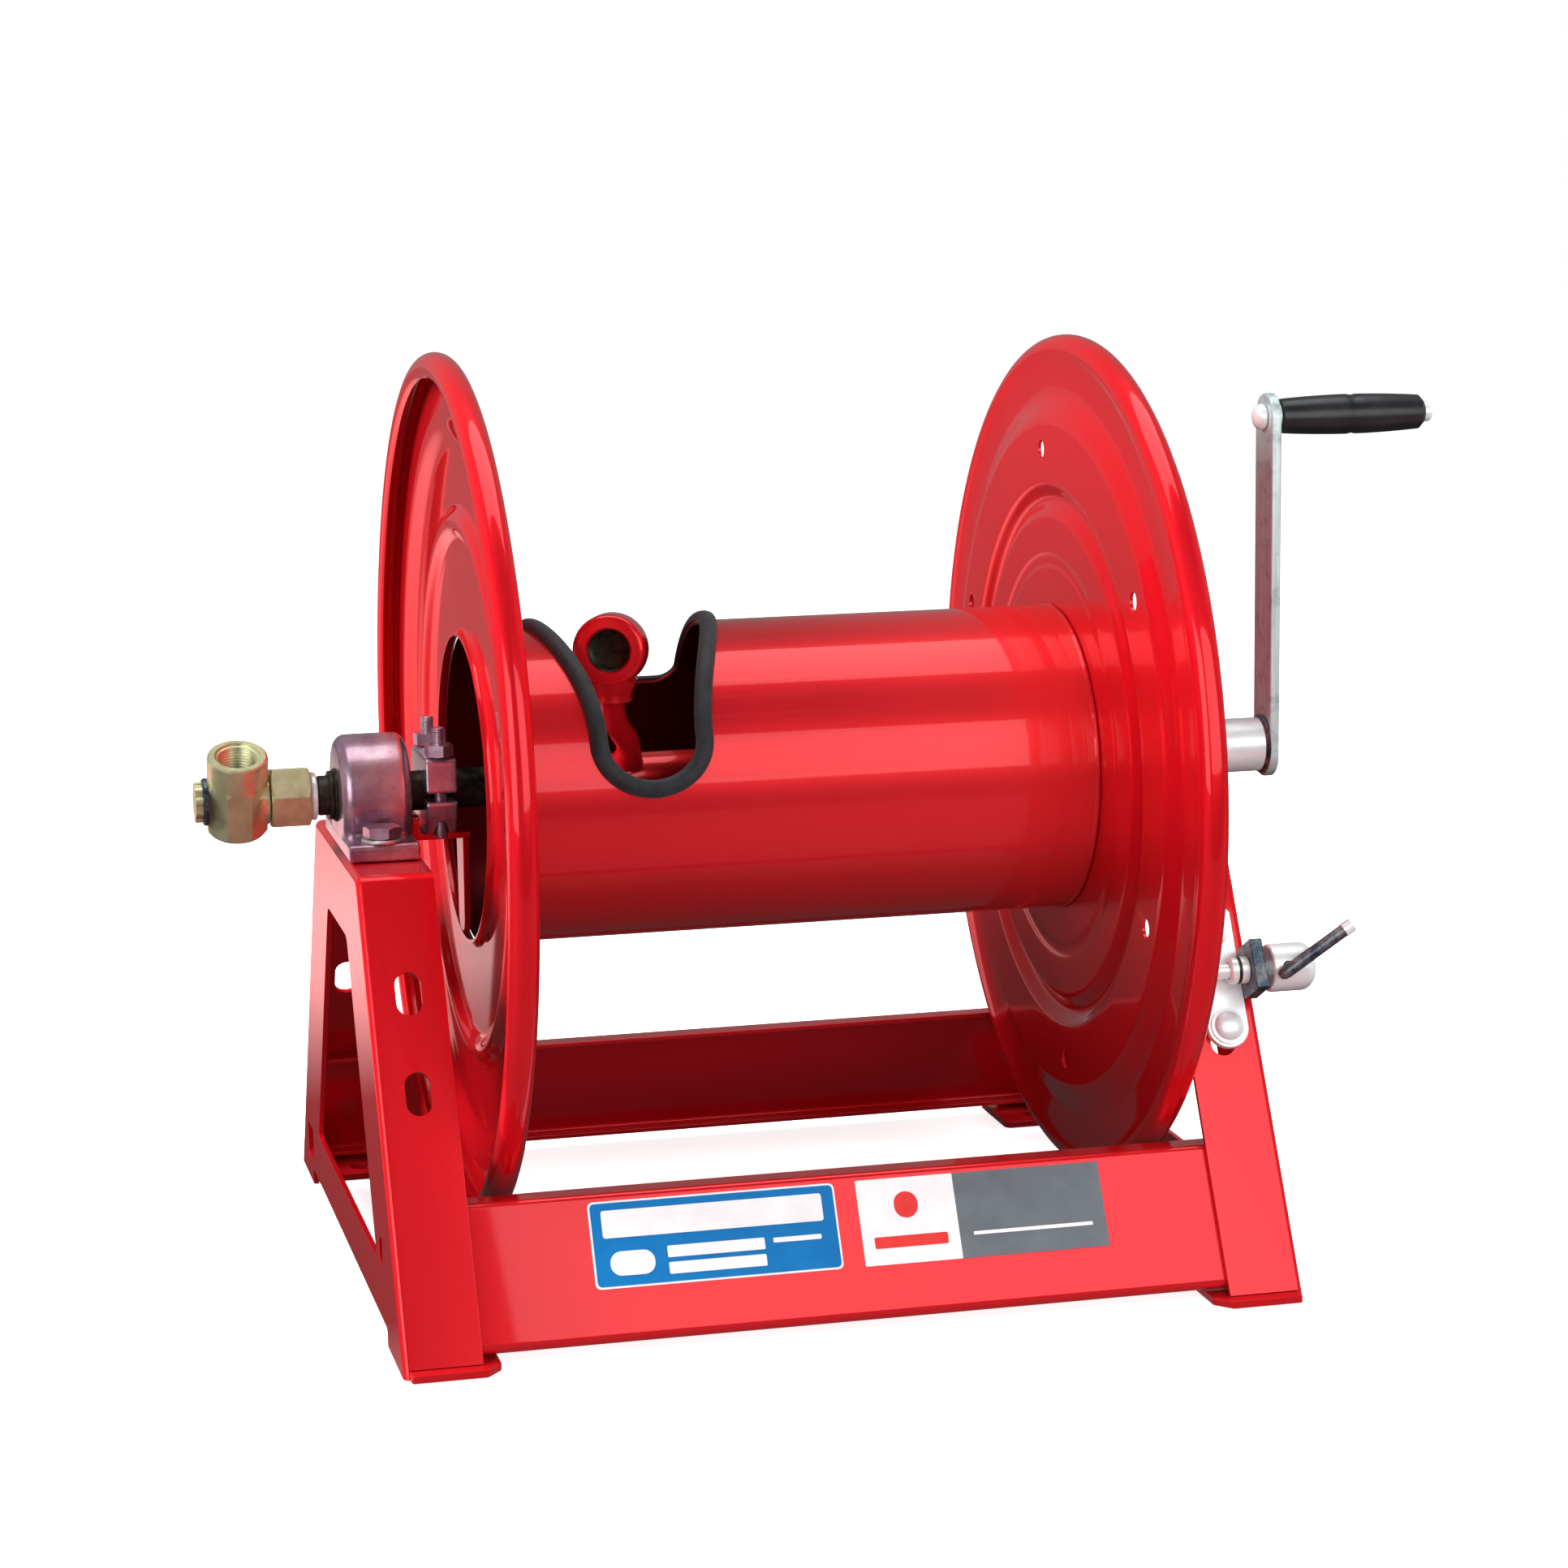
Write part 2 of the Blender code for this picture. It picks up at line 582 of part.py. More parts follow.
def cut_half_width(angle, inset=0.0):
    """Half width of the cut-out at an angle round the drum: wide at the rear, a round end in front."""
    shrink = math.degrees(inset / DRUM_R)
    low, high = CUT_REAR + shrink, CUT_FRONT - shrink
    width = CUT_WIDE - (CUT_WIDE - CUT_NARROW) * eased((angle + 8.0) / 75.0) - inset
    if angle > high - 17.0:
        t = (angle - high + 17.0) / 17.0
        width *= math.sqrt(max(0.0, 1.0 - t * t))
    if angle < low + 9.0:
        t = (low + 9.0 - angle) / 9.0
        width -= X(12) * (1.0 - math.sqrt(max(0.0, 1.0 - t * t)))
    return width


def cut_stations(inset, steps):
    """Angles along the cut-out, closer together near its two ends."""
    shrink = math.degrees(inset / DRUM_R)
    low, high = CUT_REAR + shrink, CUT_FRONT - shrink
    middle, half = (low + high) / 2, (high - low) / 2
    return [middle - half * math.cos(math.pi * k / steps) for k in range(steps + 1)]


def on_drum(x, angle, r):
    """Point at an angle in degrees round the drum, measured from its top to the front."""
    a = math.radians(angle)
    return Vector((x, -r * math.sin(a), AXLE_Z + r * math.cos(a)))


def cut_tool(name, r_in, r_out):
    """Radial wedge with the outline of the cut-out."""
    bm = bmesh.new()
    rows = []
    for angle in cut_stations(TRIM_INSET, 26):
        half = max(cut_half_width(angle, TRIM_INSET), X(1.5))
        corners = ((-half, r_in), (half, r_in), (half, r_out), (-half, r_out))
        rows.append([bm.verts.new(on_drum(CUT_X + dx, angle, r)) for dx, r in corners])
    bm.faces.new(rows[0])
    bm.faces.new(rows[-1][::-1])
    for near, far in zip(rows, rows[1:]):
        for k in range(4):
            q = (k + 1) % 4
            bm.faces.new((near[k], far[k], far[q], near[q]))
    return add_object(name, mesh_of(name, bm), "red_paint", cutters)


boolean(drum, cut_tool("cutout_tool", X(60), X(90)))
finish(drum, 40.0)


def edge_trim(name):
    """Rubber bead lying on the drum along the rim of the cut-out."""
    stations = cut_stations(0.0, 30)
    right = [(CUT_X + cut_half_width(angle), angle) for angle in stations[:-1]]
    left = [(2 * CUT_X - x, angle) for x, angle in right][::-1]
    path = right + [(CUT_X, CUT_FRONT)] + left
    path += [(CUT_X - X(15), CUT_REAR), (CUT_X, CUT_REAR), (CUT_X + X(15), CUT_REAR)]
    ride = DRUM_R + GAP
    section = [(-3.75, 0.0), (3.75, 0.0), (3.75, 3.0), (2.6, 4.3), (-2.6, 4.3), (-3.75, 3.0)]
    bm = bmesh.new()
    rings = []
    for i, (x, angle) in enumerate(path):
        xa, aa = path[i - 1]
        xb, ab = path[(i + 1) % len(path)]
        along = Vector((xb - xa, math.radians(ab - aa) * ride)).normalized()
        across = Vector((along.y, -along.x))
        corners = []
        for s, h in section:
            turn = angle + math.degrees(across.y * X(s) / ride)
            corners.append(bm.verts.new(on_drum(x + across.x * X(s), turn, ride + X(h))))
        rings.append(corners)
    for near, far in zip(rings, rings[1:] + rings[:1]):
        for k in range(len(section)):
            q = (k + 1) % len(section)
            bm.faces.new((near[k], far[k], far[q], near[q]))
    return finish(add_object(name, mesh_of(name, bm), "rubber"), 50.0)


edge_trim("cutout_trim")

# ---------------------------------------------------------------- axle, riser and outlet
axle = rod("axle", (STUB_RIGHT + GAP, 0, AXLE_Z), (BLOCK_OUT + X(4), 0, AXLE_Z), AXLE_R, "red_paint",
           X(1.5), 32)
finish(axle)
stub = revolve("inlet_nipple", [(0, 0), (0, STUB_R - X(1)), (X(1), STUB_R),
                                (STUB_RIGHT - STUB_LEFT, STUB_R), (STUB_RIGHT - STUB_LEFT, 0)],
               (STUB_LEFT, 0, AXLE_Z), (1, 0, 0), "black_pipe", 32)
finish(stub)

OUTLET = Vector((X(-79.6), X(-30), X(289.5)))
OUTLET_AXIS = Vector((-math.sin(math.radians(20)), -math.cos(math.radians(20)), 0.05)).normalized()


def riser(name):
    """Bent pipe that climbs from the axle to the hose outlet, with a wide foot on the axle."""
    lean = Vector((0, -0.55, 0.835)).normalized()
    foot = Vector((X(-67), 0, AXLE_Z)) + lean * (AXLE_R + GAP)
    top = OUTLET - OUTLET_AXIS * X(8) - Vector((0, 0, X(19.6)))
    knee = foot + lean * X(11) + Vector((X(-1.5), 0, X(1.0)))
    path = [foot, foot + lean * X(5), knee, knee.lerp(top, 0.55) + Vector((0, X(-1.0), 0)), top]
    curve = bpy.data.curves.new(name, "CURVE")
    curve.dimensions = "3D"
    curve.bevel_depth = X(5.8)
    curve.bevel_resolution = 4
    curve.use_fill_caps = True
    spline = curve.splines.new("POLY")
    spline.points.add(len(path) - 1)
    for point, at, width in zip(spline.points, path, (1.45, 1.35, 1.0, 1.0, 1.0)):
        point.co = (*(at - foot), 1.0)
        point.radius = width
    frame = (foot, Vector((1, 0, 0)), Vector((0, 1, 0)), Vector((0, 0, 1)))
    return finish(from_curve(name, curve, frame, "red_paint"), 40.0)


riser("riser_pipe")
outlet = revolve("hose_outlet", [(X(11), 0), (X(11), PORT_R), (0, PORT_R), (0, X(15.6)), (X(1.6), X(17.0)),
                                 (X(16), X(17.0)), (X(19), X(14.5)), (X(19), 0)],
                 OUTLET, -OUTLET_AXIS, "red_paint", 40)
finish(outlet)

# ---------------------------------------------------------------- split clamp and hub bracket, left side
CLAMP_X0, CLAMP_X1 = X(-165.0), X(-150.5)
CLAMP_X = (CLAMP_X0 + CLAMP_X1) / 2
CLAMP_SPLIT = X(2.0)
CLAMP_R = X(18.2)
CLAMP_Y = X(25.0)


def clamp_half(name, up):
    corner = X(4) if up > 0 else X(9)
    outline = rounded([(-CLAMP_Y, up * CLAMP_SPLIT), (CLAMP_Y, up * CLAMP_SPLIT), (CLAMP_Y, up * CLAMP_R),
                       (-CLAMP_Y, up * CLAMP_R)], [X(1.5), X(1.5), corner, corner], 4)
    obj = prism(name, outline, ((CLAMP_X0, 0, AXLE_Z), (0, 1, 0), (0, 0, 1), (1, 0, 0)),
                CLAMP_X1 - CLAMP_X0, "cast_grey")
    soften(obj, X(0.8), 1, 60.0)
    boolean(obj, rod(name + "_bore", (CLAMP_X0 - X(5), 0, AXLE_Z), (CLAMP_X1 + X(5), 0, AXLE_Z),
                     STUB_R + GAP, "cast_grey", steps=28, target=cutters))
    for face in (-1, 1):
        boolean(obj, rod("%s_hole_%d" % (name, face), (CLAMP_X, face * X(18), AXLE_Z - X(40)),
                         (CLAMP_X, face * X(18), AXLE_Z + X(40)), X(3.6), "cast_grey", target=cutters))
    return finish(obj)


clamp_half("clamp_upper", 1)
clamp_half("clamp_lower", -1)
for end, face in (("front", -1), ("rear", 1)):
    at = Vector((CLAMP_X, face * X(18), AXLE_Z))
    screw = rod("clamp_stud_" + end, at + Vector((0, 0, X(-19.5))), at + Vector((0, 0, X(32))), X(3.1),
                "zinc", X(0.6), 24)
    finish(screw)
    seat = CLAMP_R + GAP
    nut = hexagon("clamp_nut_" + end, at + Vector((0, 0, seat)), at + Vector((0, 0, seat + X(6))), X(12),
                  "zinc", X(3.1) + GAP, turn=8)
    finish(nut)

# Saddle under the clamp with an arm that runs down to the disc's inner edge.
saddle_z = AXLE_Z - CLAMP_R - GAP
bracket = prism("hub_bracket", [(X(-170), 0), (X(-143.5), 0), (X(-143.5), X(-3)), (X(-170), X(-3))],
                ((0, X(-13), saddle_z), (1, 0, 0), (0, 0, 1), (0, 1, 0)), X(26), "red_paint")
arm = prism("bracket_arm", rounded([(X(-10), X(0)), (X(10), X(0)), (X(8), X(-49.5)), (X(-8), X(-49.5))],
                                   [0, 0, X(7), X(7)], 4),
            ((X(-146.5), 0, saddle_z), (0, 1, 0), (0, 0, 1), (1, 0, 0)), X(3.0), "red_paint", cutters)
fin = prism("bracket_fin", [(X(-13), X(-3)), (X(13), X(-3)), (X(13), X(8)), (X(-13), X(8))],
            ((X(-170), 0, saddle_z), (0, 1, 0), (0, 0, 1), (1, 0, 0)), X(3.0), "red_paint", cutters)
boolean(bracket, arm, "UNION")
boolean(bracket, fin, "UNION")
finish(bracket)

# ---------------------------------------------------------------- inlet swivel
stem_ring = ring("swivel_ring", (X(-216.0), 0, AXLE_Z), (STUB_LEFT - GAP, 0, AXLE_Z), X(11.2), X(6.0),
                 "zinc", X(0.5), 24)
finish(stem_ring)
stem_nut = hexagon("swivel_nut", (X(-234.8), 0, AXLE_Z), (X(-216.3), 0, AXLE_Z), X(26.5), "brass",
                   X(6.0), turn=22)
finish(stem_nut)


SWIVEL_TURN = math.radians(24.0)    # the port leans to the front
PORT_UP = Vector((0, -math.sin(SWIVEL_TURN), math.cos(SWIVEL_TURN)))
PORT_SIDE = Vector((0, math.cos(SWIVEL_TURN), math.sin(SWIVEL_TURN)))


def swivel_body(name):
    """Octagonal elbow with a round port that opens upwards and a short neck towards the nut."""
    centre = Vector((X(-249.6), 0, AXLE_Z))
    half = X(15.4)
    corner = X(13.6) / math.cos(math.pi / 8)
    outline = []
    for k in range(8):
        a = math.pi / 8 + math.pi / 4 * k
        outline.append((corner * math.cos(a), corner * math.sin(a)))
    obj = prism(name, outline, (centre - PORT_UP * half, (1, 0, 0), PORT_SIDE, PORT_UP), 2 * half, "brass")
    soften(obj, X(0.8), 2, 60.0)
    port = revolve(name + "_port", [(0, 0), (0, X(13.4)), (X(21), X(14.0)), (X(22.6), X(12.8)), (X(22.6), 0)],
                   centre + PORT_UP * X(2), PORT_UP, "brass", 28, target=cutters)
    boolean(obj, port, "UNION")
    neck = rod(name + "_neck", centre, (X(-235.1), 0, AXLE_Z), X(12.0), "brass", 0.0, 24,
               target=cutters)
    boolean(obj, neck, "UNION")
    bore = revolve(name + "_bore", [(X(2), 0), (X(2), X(7)), (X(6), PORT_R), (X(30), PORT_R), (X(30), 0)],
                   centre, PORT_UP, "brass", 40, target=cutters)
    boolean(obj, bore)
    return finish(obj, 28.0)


swivel_body("swivel_elbow")
plug_seal = rod("swivel_plug_flange", (X(-265.6), 0, AXLE_Z), (X(-263.5), 0, AXLE_Z), X(11.0),
                "dark_steel", X(0.5), 24)
finish(plug_seal)
ribs = []
for k in range(48):
    a = 2 * math.pi * k / 48
    r = X(9.5) if (k // 2) % 2 == 0 else X(8.5)
    ribs.append((r * math.cos(a), r * math.sin(a)))
plug = prism("swivel_plug", ribs, ((X(-265.6) - GAP, 0, AXLE_Z), (0, 1, 0), (0, 0, 1), (-1, 0, 0)),
             X(3.4), "brass")
finish(plug, 30.0)

# ---------------------------------------------------------------- crank
sleeve = ring("crank_sleeve", (BLOCK_OUT + X(4.3), 0, AXLE_Z), (ARM_X0 - GAP, 0, AXLE_Z), SLEEVE_R, X(6.0),
              "zinc", X(0.8), 28)
finish(sleeve)
GRIP_Z = AXLE_Z + CRANK_R
half_arm = ARM_WIDTH / 2
arm_outline = []
for k in range(13):
    a = math.pi * k / 12
    arm_outline.append((half_arm * math.cos(a), CRANK_R + half_arm * math.sin(a)))
for k in range(13):
    a = math.pi + math.pi * k / 12
    arm_outline.append((half_arm * math.cos(a), X(-4.5) + half_arm * math.sin(a)))
arm = prism("crank_arm", arm_outline, ((ARM_X0, 0, AXLE_Z), (0, 1, 0), (0, 0, 1), (1, 0, 0)),
            ARM_X1 - ARM_X0, "zinc")
soften(arm, X(0.6), 1, 60.0)
boolean(arm, rod("arm_pin_hole", (ARM_X0 - X(3), 0, GRIP_Z), (ARM_X1 + X(3), 0, GRIP_Z),
                 SPINDLE_R + GAP, "zinc", target=cutters))
finish(arm)

dome_profile = [(X(-3.2), 0), (X(-3.2), SPINDLE_R + GAP), (0, SPINDLE_R + GAP), (0, X(6.3)), (X(-1.6), X(6.3)),
                (X(-3.4), X(5.6)), (X(-4.8), X(3.8)), (X(-5.6), 0)]
dome = revolve("spindle_cap_nut", dome_profile, (ARM_X0 - GAP, 0, GRIP_Z), (1, 0, 0), "zinc", 24)
finish(dome)
head = X(339.5) - ARM_X0
spindle = revolve("grip_spindle", [(X(-2.9), 0), (X(-2.9), SPINDLE_R), (GRIP_X1 + GAP - ARM_X0, SPINDLE_R),
                                   (GRIP_X1 + GAP - ARM_X0, X(4.4)), (head - X(0.8), X(4.4)),
                                   (head, X(3.6)), (head, 0)], (ARM_X0, 0, GRIP_Z), (1, 0, 0), "zinc", 24)
finish(spindle)
length = GRIP_X1 - GRIP_X0
grip_bore = SPINDLE_R + GAP
grip = revolve("crank_grip", [(0, grip_bore), (0, X(7.9)), (X(1.2), X(8.5)), (length * 0.22, X(9.3)),
                              (length * 0.5, X(9.9)), (length * 0.78, X(9.2)), (length * 0.9, X(8.6)),
                              (length * 0.97, X(7.6)), (length, X(5.6)), (length, grip_bore)],
               (GRIP_X0, 0, GRIP_Z), (1, 0, 0), "grip_plastic", 28, closed=True)
finish(grip, 50.0)

# ---------------------------------------------------------------- spring pin lock on the front right leg
ALONG = Vector((0, math.sin(TILT), math.cos(TILT)))
OUT = Vector((0, -math.cos(TILT), math.sin(TILT)))


def on_leg(x, z, lift=0.0):
    """Point on the front leg's outer face at a height, lifted square off it."""
    return Vector((x, -leg_y(z), z)) + OUT * lift


strap_low, strap_high = X(112.8), X(163.0)
base = on_leg(LOCK_X, strap_low, GAP)
rise = (strap_high - strap_low) / math.cos(TILT)
strap_outline = []
for k in range(11):
    a = math.pi + math.pi * k / 10
    strap_outline.append((STRAP_WIDTH / 2 * math.cos(a), STRAP_WIDTH / 2 * math.sin(a)))
strap_outline += [(STRAP_WIDTH / 2, rise), (-STRAP_WIDTH / 2, rise)]
strap = prism("lock_strap", strap_outline, (base, (1, 0, 0), ALONG, OUT), STRAP_THICK, "zinc")
for tag, z in (("low", X(112.8)), ("high", X(152.5))):
    foot = on_leg(LOCK_X, z)
    boolean(strap, rod("strap_hole_" + tag, foot - OUT * X(6), foot + OUT * X(9), X(3.6), "zinc",
                       target=cutters))
finish(strap)

for tag, z in (("lower", X(112.8)), ("upper", X(152.5))):
    foot = on_leg(LOCK_X, z)
    seat = GAP + STRAP_THICK + GAP
    bolt = revolve("lock_bolt_" + tag, [(X(-9), 0), (X(-9), X(3.0)), (seat, X(3.0)), (seat, X(6.8)),
                                        (seat + X(1.4), X(6.6)), (seat + X(3.0), X(5.0)),
                                        (seat + X(4.0), X(2.6)), (seat + X(4.3), 0)], foot, OUT, "zinc", 20)
    finish(bolt)
    nut = hexagon("lock_nut_" + tag, foot - OUT * X(8.6), foot - OUT * (SHEET + GAP), X(11), "zinc",
                  X(3.0) + GAP)
    finish(nut)

PIN = Vector((0, PIN_Y, PIN_Z))
lift_mid = (PIN - on_leg(0, PIN_Z)).dot(OUT)
block_low = GAP + STRAP_THICK + GAP
block_high = lift_mid + X(10.5)
foot = PIN - OUT * lift_mid
guide = prism("lock_guide_block", rounded(box_outline(X(-12), block_low, X(12), block_high), X(1.2), 3),
              (foot + Vector((X(199.5), 0, 0)), ALONG, OUT, (1, 0, 0)), X(6.0), "dark_steel")
boolean(guide, rod("guide_bore", PIN + Vector((X(190), 0, 0)), PIN + Vector((X(215), 0, 0)), PIN_R + GAP,
                   "dark_steel", steps=24, target=cutters))
soften(guide, X(0.6), 1, 60.0)
finish(guide)
finish(ring("lock_nose", PIN + Vector((X(190.5), 0, 0)), PIN + Vector((X(199.5) - GAP, 0, 0)), X(6.3),
            PIN_R + GAP, "zinc", X(0.6), 32))
PIN_TIP = X(151.5)
finish(rod("lock_pin", PIN + Vector((PIN_TIP, 0, 0)), PIN + Vector((X(209.3) - GAP, 0, 0)), PIN_R,
           "zinc", X(1.0), 32))
lever_dir = Vector((math.cos(math.radians(32.5)), 0, math.sin(math.radians(32.5))))
lever_low = PIN + Vector((X(210.5), X(-14.7), X(-0.8)))
peg_at = lever_low + lever_dir * X(6.5)
knob = revolve("lock_knob", [(0, 0), (0, X(10.4)), (X(1), X(11.2)), (X(17), X(11.2)), (X(20.5), X(9.8)),
                             (X(22.4), X(6.4)), (X(23), 0)], PIN + Vector((X(209.3), 0, 0)), (1, 0, 0),
               "zinc", 32)
boolean(knob, rod("knob_peg_hole", peg_at, peg_at + Vector((0, X(12), 0)), X(2.6), "zinc", target=cutters))
finish(knob)
lever = rod("lock_cross_bar", lever_low, lever_low + lever_dir * X(40.5), X(3.0), "dark_steel", X(0.6), 24)
boolean(lever, rod("lever_peg", peg_at + Vector((0, X(1), 0)), peg_at + Vector((0, X(11), 0)), X(2.3),
                   "dark_steel", steps=20, target=cutters), "UNION")
finish(lever)

# ---------------------------------------------------------------- moving groups and overall shift
def carry(name, at, pieces, parent=None):
    """Empty on a joint's axis; the pieces that move together hang from it and stay in place."""
    pivot = bpy.data.objects.new(name, None)
    pivot.empty_display_size = X(20)
    pivot.location = at
    parts.objects.link(pivot)
    for piece in pieces:
        child = bpy.data.objects[piece]
        child.parent = pivot
        child.location -= Vector(at)
    if parent is not None:
        pivot.parent = parent
        pivot.location -= parent.location
    return pivot


REEL = ["drum", "cutout_trim", "disc_left", "disc_right", "hub_bracket", "clamp_upper", "clamp_lower",
        "clamp_stud_front", "clamp_stud_rear", "clamp_nut_front", "clamp_nut_rear", "axle", "inlet_nipple",
        "riser_pipe", "hose_outlet", "crank_sleeve", "crank_arm", "spindle_cap_nut", "grip_spindle",
        "swivel_ring", "swivel_nut"]
reel_axis = carry("reel_axis", Vector((0, 0, AXLE_Z)), REEL)
carry("grip_axis", Vector((GRIP_X0, 0, GRIP_Z)), ["crank_grip"], reel_axis)
carry("swivel_axis", Vector((X(-249.6), 0, AXLE_Z)), ["swivel_elbow", "swivel_plug", "swivel_plug_flange"])
pin_axis = carry("pin_axis", PIN + Vector((X(205), 0, 0)), ["lock_pin"])
carry("knob_axis", PIN + Vector((X(215), 0, 0)), ["lock_knob", "lock_cross_bar"], pin_axis)

for group in (parts, cutters):
    for obj in group.objects:
        if obj.parent is None:
            obj.location.x -= BOX_MID_X
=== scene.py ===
"""Visual model of the hand-cranked fire hose reel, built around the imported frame."""
import math
import bmesh
import bpy
from mathutils import Matrix, Vector


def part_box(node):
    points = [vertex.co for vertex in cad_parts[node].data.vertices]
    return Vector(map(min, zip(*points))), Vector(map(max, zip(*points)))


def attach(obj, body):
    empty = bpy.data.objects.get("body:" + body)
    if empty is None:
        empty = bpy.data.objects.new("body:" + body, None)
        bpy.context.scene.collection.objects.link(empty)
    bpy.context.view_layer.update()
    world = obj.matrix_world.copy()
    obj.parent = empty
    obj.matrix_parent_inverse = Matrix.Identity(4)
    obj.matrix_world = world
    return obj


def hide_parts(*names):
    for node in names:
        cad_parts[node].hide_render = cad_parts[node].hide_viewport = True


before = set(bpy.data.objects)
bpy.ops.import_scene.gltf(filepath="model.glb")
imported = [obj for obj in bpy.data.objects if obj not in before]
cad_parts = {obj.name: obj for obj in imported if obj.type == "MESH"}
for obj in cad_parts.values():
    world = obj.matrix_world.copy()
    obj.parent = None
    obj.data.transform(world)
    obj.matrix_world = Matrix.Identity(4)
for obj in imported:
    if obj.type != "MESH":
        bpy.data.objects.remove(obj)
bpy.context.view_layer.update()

# ------------ dimensions in mm, x from the mid-plane
MM = 0.001
FRAME_HALF, SHEET, FLANGE = 205.5, 2.5, 35.0
LEFT_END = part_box("side_frame_left")[0][0] / MM
MID_X = -FRAME_HALF - LEFT_END
AXLE_Z = 224.0
FOOT_Y, SLOPE, FRAME_TOP = 184.0, 0.5437, 199.3
WINDOW_LOW, WINDOW_HIGH, WINDOW_HALF = 32.0, 164.0, 35.0
BEND_R, PAD_THICK, PANEL_Z = 3.2, 3.5, 44.5
LEG_SLOT_X, LEG_SLOT_LOW, LEG_SLOT_HIGH = 187.0, 110.5, 150.8
GAP = 0.3
DISC_R, DISC_SHEET, RIM_R = 203.2, 1.6, 6.8
LEFT_FACE, RIGHT_FACE = -139.8, 145.3
DRUM_R = 73.4
HOLE_CIRCLE, HOLE_PHASE = 148.5, -7.0
CUT_X, CUT_REAR, CUT_FRONT = -67.5, -62.0, 84.2
CUT_WIDE, CUT_NARROW, TRIM_INSET = 42.0, 24.5, 3.0
AXLE_R, STUB_R, SLEEVE_R = 12.4, 9.3, 13.2
SWIVEL_TURN = math.radians(24.0)
PORT_UP = Vector((0, -math.sin(SWIVEL_TURN), math.cos(SWIVEL_TURN)))
PORT_SIDE = Vector((0, math.cos(SWIVEL_TURN), math.sin(SWIVEL_TURN)))
CRANK_R = 161.0
GRIP_Z = AXLE_Z + CRANK_R
PIN_Y = -122.5
PIN_Z = AXLE_Z - math.sqrt(HOLE_CIRCLE ** 2 - PIN_Y ** 2)
TILT = math.atan(SLOPE)
OUT = Vector((0, -math.cos(TILT), math.sin(TILT)))
ALONG = Vector((0, math.sin(TILT), math.cos(TILT)))
X_AXIS, Y_AXIS, Z_AXIS = Vector((1, 0, 0)), Vector((0, 1, 0)), Vector((0, 0, 1))
SIDES = (("left", -1), ("right", 1))
ENDS = (("front", -1), ("rear", 1))


def leg_y(z):
    return FOOT_Y - SLOPE * z


# ------------ node material helpers
class Nodes:
    """A new material with its Principled shader and short calls for the usual nodes."""

    def __init__(self, name, **sockets):
        self.mat = bpy.data.materials.new(name)
        self.mat.use_nodes = True
        self.tree = self.mat.node_tree
        self.bsdf = self.tree.nodes["Principled BSDF"]
        coords = self.tree.nodes.new("ShaderNodeTexCoord")
        self.place = coords.outputs["Object"]
        for key, value in sockets.items():
            self.bsdf.inputs[key.replace("_", " ")].default_value = value

    def node(self, kind, **inputs):
        made = self.tree.nodes.new(kind)
        for key, value in inputs.items():
            key = key.replace("_", " ")
            if isinstance(value, bpy.types.NodeSocket):
                self.tree.links.new(value, made.inputs[key])
            else:
                made.inputs[key].default_value = value
        return made

    def noise(self, scale, detail, rough=0.55, stretch=None):
        vector = self.place
        if stretch is not None:
            mapping = self.node("ShaderNodeMapping", Vector=vector, Scale=stretch)
            vector = mapping.outputs["Vector"]
        made = self.node("ShaderNodeTexNoise", Vector=vector, Scale=scale, Detail=detail, Roughness=rough)
        return made.outputs["Fac"]

    def ramp(self, fac, low, high, a, b):
        """Maps fac from low..high to a number range a..b."""
        made = self.node("ShaderNodeMapRange", Value=fac, From_Min=low, From_Max=high, To_Min=a, To_Max=b)
        return made.outputs["Result"]

    def mix(self, fac, a, b):
        made = self.tree.nodes.new("ShaderNodeMix")
        made.data_type = "RGBA"
        self.tree.links.new(fac, made.inputs["Factor"])
        for socket, value in ((made.inputs[6], a), (made.inputs[7], b)):
            if isinstance(value, bpy.types.NodeSocket):
                self.tree.links.new(value, socket)
            else:
                socket.default_value = (*value, 1.0)
        return made.outputs[2]

    def blend(self, fac, low, high, most, a, b):
        """Colour a, turning towards b as fac rises from low to high."""
        return self.mix(self.ramp(fac, low, high, 0.0, most), a, b)

    def math(self, operation, a, b=None):
        made = self.tree.nodes.new("ShaderNodeMath")
        made.operation = operation
        for socket, value in zip(made.inputs, (a, b)):
            if value is None:
                continue
            if isinstance(value, bpy.types.NodeSocket):
                self.tree.links.new(value, socket)
            else:
                socket.default_value = value
        return made.outputs[0]

    def axis(self, which):
        made = self.node("ShaderNodeSeparateXYZ", Vector=self.place)
        return made.outputs[which]

    def pointiness(self):
        """Above a half on convex edges, below it in hollows."""
        return self.tree.nodes.new("ShaderNodeNewGeometry").outputs["Pointiness"]

    def set(self, socket, value):
        self.tree.links.new(value, self.bsdf.inputs[socket])

    def finished(self, base, rough, height, strength, distance):
        """Sets colour, roughness and bump, and returns the material."""
        self.set("Base Color", base)
        self.set("Roughness", rough)
        bump = self.node("ShaderNodeBump", Height=height, Strength=strength, Distance=distance)
        self.set("Normal", bump.outputs["Normal"])
        return self.mat


